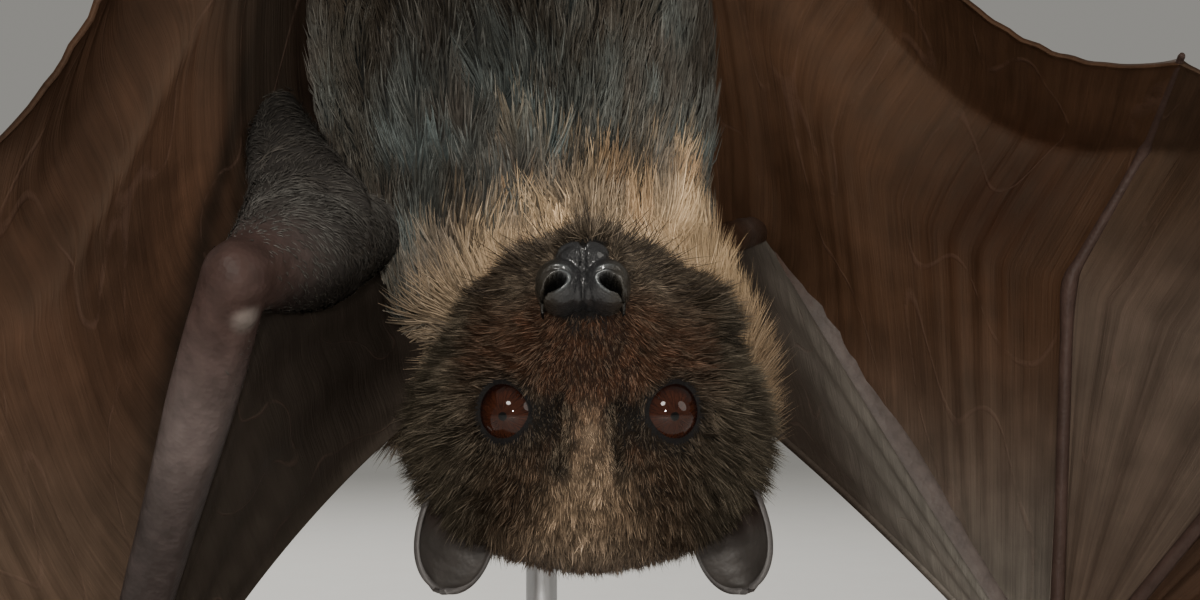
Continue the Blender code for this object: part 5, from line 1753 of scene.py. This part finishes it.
def gather(roots, size, seed):
    """Offset of each root from the middle of its tuft, and a random number from 0 to 1 for each tuft."""
    bent = roots + swirl(roots, size * 2.2, seed) * size * 0.9
    cells = np.floor(bent / size).astype(np.int64) @ np.array((1, 4099, 4099 * 4099))
    _, tuft, members = np.unique(cells, return_inverse=True, return_counts=True)
    middle = np.stack([np.bincount(tuft, roots[:, axis]) for axis in range(3)], axis=-1) / members[:, None]
    luck = np.random.default_rng(seed).random(len(members))
    return middle[tuft] - roots, luck[tuft]


def grow(name, roots, facing, way, length, width, root_colour, tip_colour, places, look, slot, bend=None):
    """Solid tapered locks; bend is the way in which their outer halves turn, or None for straight ones."""
    side = unit(np.cross(way, facing))
    rise = np.cross(side, way)
    start = roots - way * 0.5
    wide = np.asarray(width)[:, None]
    long = np.asarray(length)[:, None]
    base = [start + side * (wide * x) + rise * (wide * y) for x, y in LOCK_SECTION]
    if bend is None:
        pattern, shade, spots = STRAIGHT_LOCK
        vertices = np.stack((*base, start + way * long), axis=1)
    else:
        pattern, shade, spots = BENT_LOCK
        middle = start + way * (long * 0.5)
        ring = [middle + side * (wide * 0.85 * x) + rise * (wide * 0.85 * y) for x, y in LOCK_SECTION]
        tip = middle + unit(way + bend) * (long * 0.5)
        vertices = np.stack((*base, *ring, tip), axis=1)
    # ring corners run clockwise seen along the lock, so the pattern's faces turn outwards
    per = vertices.shape[1]
    colours = (root_colour[:, None, :] * (1.0 - shade)[None, :, None]
               + tip_colour[:, None, :] * shade[None, :, None])
    limit = MOST_TRIANGLES // len(pattern)
    for number, first in enumerate(range(0, len(roots), limit)):
        last = min(first + limit, len(roots))
        points = vertices[first:last].reshape(-1, 3)
        faces = (np.arange(last - first)[:, None, None] * per + pattern[None]).reshape(-1, 3)
        patch = np.clip(places[first:last, None, :] + (spots[None] - 0.5) * PATCH_SIZE, 0.0, 1.0)
        patch = patch.reshape(-1, 2)
        make_piece("%s_%d" % (name, number + 1), points, faces, look, slot, smooth=False,
                   colours=colours[first:last].reshape(-1, 3), uvs=patch[faces.ravel()])


def lay(facing, flow, lift):
    """Directions that lie along the flow and stand off the skin by the lift."""
    flat = unit(flow - facing * np.sum(flow * facing, axis=1, keepdims=True))
    lift = np.asarray(lift)[:, None]
    return unit(flat * np.sqrt(1.0 - np.clip(lift, 0.0, 0.98) ** 2) + facing * lift)


def head_places(roots):
    """Spots on the head's coat map."""
    ahead, aside, above = head_local(roots)
    return np.stack((0.5 + np.arctan2(aside, above + 6.0) / (2.0 * math.pi), (ahead + 36.0) / 72.0), axis=-1)


def body_places(roots):
    """Spots on the body's coat map."""
    return np.stack((0.5 + np.arctan2(roots[:, 0], -roots[:, 1]) / (2.0 * math.pi),
                     (roots[:, 2] - 150.0) / 300.0), axis=-1)


def eye_distance(points):
    """Distance to the middle of the nearer eyeball."""
    return np.minimum(*(distance(points, eye_centre(side)) for side in SIDES.values()))


def head_weight(points, normals):
    """How thickly hair grows on the head: none on the eyes and the nose, more on the muzzle."""
    ahead, aside, above = head_local(points)
    bare = smoothstep(6.70, 7.10, eye_distance(points))
    nose = smoothstep(28.6, 29.6, ahead) * smoothstep(5.0, 3.8, np.abs(aside - NOSE_ASIDE))
    nose = 1.0 - nose * smoothstep(-15.8, -15.0, above) * smoothstep(-2.4, -3.6, above)
    hidden = smoothstep(-30.0, -26.0, ahead)
    short = 1.0 + 1.3 * smoothstep(0.0, 20.0, ahead)
    return bare * nose * hidden * short


def grow_head(skin):
    """Short fine hair that fans out from the nose and round the eyes."""
    count = HAIRS["head"]
    roots, facing, chance = scatter(skin, count, head_weight, 11)
    ahead, aside, above = head_local(roots)
    flow = unit(roots - head_point(44.0, 0.0, -4.0))
    for side in SIDES.values():
        away = roots - eye_centre(side)
        near = bump_of(np.linalg.norm(away, axis=1), 0.0, 10.5)
        flow = flow + unit(away) * (1.3 * near)[:, None]
    tuft = swirl(roots, 3.4, 101) * 0.34 + swirl(roots, 1.3, 111) * 0.36
    flow = unit(flow) + tuft + chance.normal(0.0, 0.09, (count, 3))
    back = smoothstep(18.0, -16.0, ahead)
    cheek = smoothstep(12.0, 26.0, np.abs(aside))
    under = smoothstep(-8.0, -18.0, above)
    edge = smoothstep(6.5, 12.0, np.abs(aside)) * smoothstep(8.0, 16.0, ahead)
    chin = smoothstep(15.0, 22.0, ahead) * smoothstep(-14.5, -18.5, above)
    length = 1.9 - 0.5 * smoothstep(4.0, 14.0, ahead) + 1.5 * back + 2.5 * cheek
    length = length + 1.6 * np.maximum(under, edge) + 2.2 * chin
    length = length * (0.52 + 0.48 * smoothstep(6.8, 11.0, eye_distance(roots)))
    length = length * chance.uniform(0.65, 1.30, count)
    lift = 0.30 + 0.22 * cheek + 0.14 * back + 0.16 * under + chance.normal(0.0, 0.12, count)
    way = lay(facing, flow, np.clip(lift, *LIFT_RANGE))
    inward, luck = gather(roots, 2.1, 121)
    closeness = 0.35 + 0.55 * np.maximum(cheek, back * 0.7)
    length = length * (0.78 + 0.44 * luck)
    way = unit(way * length[:, None] + inward * closeness[:, None] * 0.9)
    width = (0.080 + 0.04 * back) * chance.uniform(0.7, 1.35, count) * WIDER
    by_tuft = 0.60 - 0.15 * cheek + (0.80 + 0.30 * cheek) * luck
    tone = head_tones(roots) * (chance.uniform(0.50, 1.50, count) * by_tuft)[:, None]
    glint = chance.random(count) < 0.13 + 0.14 * chin + 0.08 * smoothstep(2.0, 12.0, ahead)
    tip = tone * 1.55
    tip[glint] = tip[glint] * 2.3 + np.array(HEAD_GLINT)
    # roots far darker than the tips: darker hair bases, and painted shade between the hairs
    grow("head_coat", roots, facing, way, length, width, tone * 0.16, tip, head_places(roots), COAT_FINE,
         "dark_fur")


def grow_whiskers(skin):
    """Few long black hairs on the muzzle and chin."""
    def weight(points, normals):
        ahead, _, above = head_local(points)
        return head_weight(points, normals) * smoothstep(10.0, 22.0, ahead) * smoothstep(-9.0, -15.0, above)

    count = HAIRS["whiskers"]
    roots, facing, chance = scatter(skin, count, weight, 12)
    flow = unit(roots - head_point(36.0, 0.0, -6.0)) + chance.normal(0.0, 0.25, (count, 3))
    way = lay(facing, flow, chance.uniform(0.55, 0.9, count))
    length = chance.uniform(6.0, 14.0, count)
    tone = layered(roots, WHISKER_BLACK)
    grow("whiskers", roots, facing, way, length, np.full(count, 0.072), tone, tone * 1.4, head_places(roots),
         COAT_FINE, "dark_fur", unit(flow) * 0.25)


def body_flow(points):
    """Direction from the head end towards the tail along the body's line."""
    lower = smoothstep(214.0, 186.0, points[:, 2])[:, None]
    flow = np.array((0.0, 0.05, 1.0)) * (1.0 - lower) + np.array((0.08, 0.72, 0.62)) * lower
    outward = points - np.array((0.0, -2.0, 0.0))
    outward = outward * np.array((1.0, 1.0, 0.0))
    return unit(flow) + unit(outward) * 0.12


def inside_head(points):
    """True where a place lies within the head's skin."""
    ahead, aside, above = head_local(points)
    table = np.array(HEAD_SECTIONS)
    middle, wide, high, deep = (np.interp(ahead, table[:, 0], table[:, column]) for column in (1, 2, 3, 4))
    reach = (aside / (wide - deep)) ** 2 + ((above - middle) / (high - deep)) ** 2
    return (ahead > -31.0) & (ahead < 28.0) & (reach < 0.90)


def grow_body(skin):
    """Longer soft hair of the trunk and the collar, thinning out down the legs."""
    def weight(points, normals):
        legs = 1.0 - smoothstep(362.0, 412.0, points[:, 2])
        behind = smoothstep(-5.0, 25.0, points[:, 1])
        outside = np.where(inside_head(points), 0.0, 1.0)
        return legs * outside * (1.0 - 0.45 * behind) * (1.0 + 0.7 * collar_share(points))

    count = HAIRS["body"]
    roots, facing, chance = scatter(skin, count, weight, 21)
    x, y, z = roots.T
    share = collar_share(roots)
    leg = smoothstep(338.0, 360.0, z)
    shin = smoothstep(364.0, 408.0, z)
    behind = smoothstep(-5.0, 25.0, y)
    flow = unit(body_flow(roots)) + swirl(roots, 9.0, 201) * 0.30 + swirl(roots, 3.0, 211) * 0.34
    flow = flow + chance.normal(0.0, 0.08, (count, 3))
    nape = smoothstep(-6.0, 16.0, y) * share
    flow = flow + swirl(roots, 5.0, 221) * (0.35 * nape)[:, None]
    # the collar stands off the right cheek, and on the left it falls past the head
    flare = smoothstep(12.0, 28.0, x) * smoothstep(212.0, 198.0, z)
    fringe = smoothstep(-12.0, -28.0, x) * smoothstep(202.0, 188.0, z)
    flow = flow + (np.array(FRINGE_FALL) + swirl(roots, 4.0, 241) * 0.6) * fringe[:, None]
    length = 8.5 + 2.0 * share - 1.6 * nape + 2.0 * flare + 2.5 * fringe
    length = length * (1.0 - 0.45 * leg) * (1.0 - 0.55 * shin) * chance.uniform(0.7, 1.25, count)
    lift = 0.36 - 0.02 * share - 0.08 * leg + 0.24 * flare + 0.10 * fringe + chance.normal(0.0, 0.07, count)
    way = lay(facing, flow, np.clip(lift, *LIFT_RANGE))
    width = (0.22 - 0.055 * share + 0.06 * behind) * (1.0 - 0.25 * leg) * chance.uniform(0.6, 1.3, count)
    inward, luck = gather(roots, 5.0, 231)
    length = length * (0.80 + 0.40 * luck)
    way = unit(way * length[:, None] + inward * 0.55)
    tone = body_tones(roots, 0.4 * luck + 0.6 * chance.random(count))
    even = 1.0 - 0.5 * share
    by_hair = 1.0 + even * chance.uniform(-0.24, 0.24, count)
    tone = tone * (by_hair * (1.0 + even * (0.40 * luck - 0.20)))[:, None]
    frost = chance.random(count) < 0.14
    tip = tone * (1.22 - 0.10 * share)[:, None]
    tip[frost] = tip[frost] * 1.4 + np.array(BODY_FROST)
    base = tone * (0.74 + 0.14 * share)[:, None]
    bend = -facing * 0.30 + swirl(roots, 4.0, 251) * 0.45 * share[:, None] + np.array((0.0, 0.0, 0.10))
    grow("body_coat", roots, facing, way, length, width * WIDER, base, tip, body_places(roots),
         COAT_SOFT, "belly_fur", bend)


def grow_arm(name, skin):
    """Short grey hair on the upper arm, thinning out before the elbow."""
    shoulder, elbow = WING_JOINTS[name]["arm"][:2]
    way_out = unit(elbow - shoulder)
    length_out = np.linalg.norm(elbow - shoulder)

    def share(points):
        along = (points - shoulder) @ way_out / length_out
        from_bone = np.linalg.norm(points - shoulder - np.outer(along * length_out, way_out), axis=1)
        amount = smoothstep(*ARM_HAIR_ENDS[name], along) * (from_bone < 21.0)
        if name == "left":
            for first, second in zip(FOLD_LINE[:-1], FOLD_LINE[1:]):
                reach = segment_distance(points, first[:3], second[:3])
                amount = np.maximum(amount, 0.9 * (reach < first[3] + 2.0))
        return amount

    def weight(points, normals):
        return share(points) + 1e-6

    count = HAIRS[name]
    roots, facing, chance = scatter(skin, count, weight, 31 if name == "left" else 32)
    flow = way_out + UP * 0.55 + swirl(roots, 6.0, 301) * 0.35 + chance.normal(0.0, 0.10, (count, 3))
    length = 3.9 * chance.uniform(0.6, 1.25, count) * (0.45 + 0.55 * share(roots))
    way = lay(facing, flow, np.clip(0.20 + chance.normal(0.0, 0.05, count), 0.06, 0.5))
    tone = layered(roots, ARM_HAIR_DARK, (ARM_HAIR_PALE, lattice_noise(roots, 7.0, 311)))
    if name == "left":
        # painted shade on the hair below the upper arm
        tone = tone * (1.0 - 0.65 * shade_under_arm(roots, shoulder, elbow))[:, None]
    # painted shade: the hair darker higher up, towards the flank
    shade_high = 0.30 + 0.70 * smoothstep(242.0, 214.0, roots[:, 2])
    tone = tone * (chance.uniform(0.7, 1.3, count) * shade_high)[:, None]
    width = 0.16 * chance.uniform(0.6, 1.3, count)
    grow("arm_coat_" + name, roots, facing, way, length, width, tone * 0.6, tone * 1.4, body_places(roots),
         COAT_SOFT, "arm_skin", -facing * 0.25)


# ------------------------------------------------------------------ build

WING_JOINTS = {name: wing_joints(name) for name in SIDES}

head_skin = build_head_skin()
build_nose()
for name, side in SIDES.items():
    build_eye(name, side)
    build_ear(name, side)
    arm_skin = build_wing(name, WING_JOINTS[name])
    grow_arm(name, arm_skin)
    build_foot(name, side)
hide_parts("head")
body_skin = build_body_skin(WING_JOINTS)
grow_head(head_skin)
grow_whiskers(head_skin)
grow_body(body_skin)
build_perch()
build_base()
build_rods(steel_look())


# ------------------------------------------------------------------ studio

def area_light(name, place, target, size, power, colour):
    """Round soft lamp aimed at a place."""
    bpy.ops.object.light_add(type="AREA", location=place)
    lamp = bpy.context.active_object
    lamp.name = name
    lamp.data.shape = "DISK"
    lamp.data.size = size
    lamp.data.energy = power
    lamp.data.color = colour
    lamp.rotation_euler = (Vector(target) - Vector(place)).to_track_quat("-Z", "Y").to_euler()


bpy.ops.object.select_all(action="DESELECT")
bpy.ops.mesh.primitive_plane_add(size=9.0, location=(0.0, 0.0, -0.0005))
floor = bpy.context.active_object
floor.name = "floor"
floor.data.materials.append(floor_look())

# Studio lamps: (name, place, size, power, colour)
LAMPS = (
    ("key", (-1.05, -1.20, 1.35), 0.55, 29.0, (1.0, 0.955, 0.88)),
    ("fill", (0.85, -1.20, 0.75), 0.9, 7.0, (1.0, 0.96, 0.88)),
    ("back", (0.30, 1.30, 1.10), 1.0, 14.0, (1.0, 0.96, 0.90)),
    ("front", (-0.42, -0.86, 0.30), 0.045, 5.0, (1.0, 0.95, 0.87)),
)
LAMP_AIM = (-0.01, -0.05, 0.22)
for name, place, size, power, colour in LAMPS:
    area_light(name, place, LAMP_AIM, size, power, colour)

ROOM_COLOUR = (0.82, 0.80, 0.745, 1.0)
ROOM_STRENGTH = 0.33
world = bpy.data.worlds.new("studio")
world.use_nodes = True
room = world.node_tree.nodes["Background"]
room.inputs["Color"].default_value = ROOM_COLOUR
room.inputs["Strength"].default_value = ROOM_STRENGTH
bpy.context.scene.world = world

CAMERA_PLACE = (-0.2062, -0.4283, 0.200)
CAMERA_TURN = (math.radians(90.0), 0.0, math.radians(-28.0))
CAMERA_LENS = 66.0
bpy.ops.object.camera_add(location=CAMERA_PLACE, rotation=CAMERA_TURN)
camera = bpy.context.active_object
camera.name = "main_view"
camera.data.lens = CAMERA_LENS
camera.data.sensor_width = 36.0
camera.data.clip_start = 0.01
bpy.context.scene.camera = camera
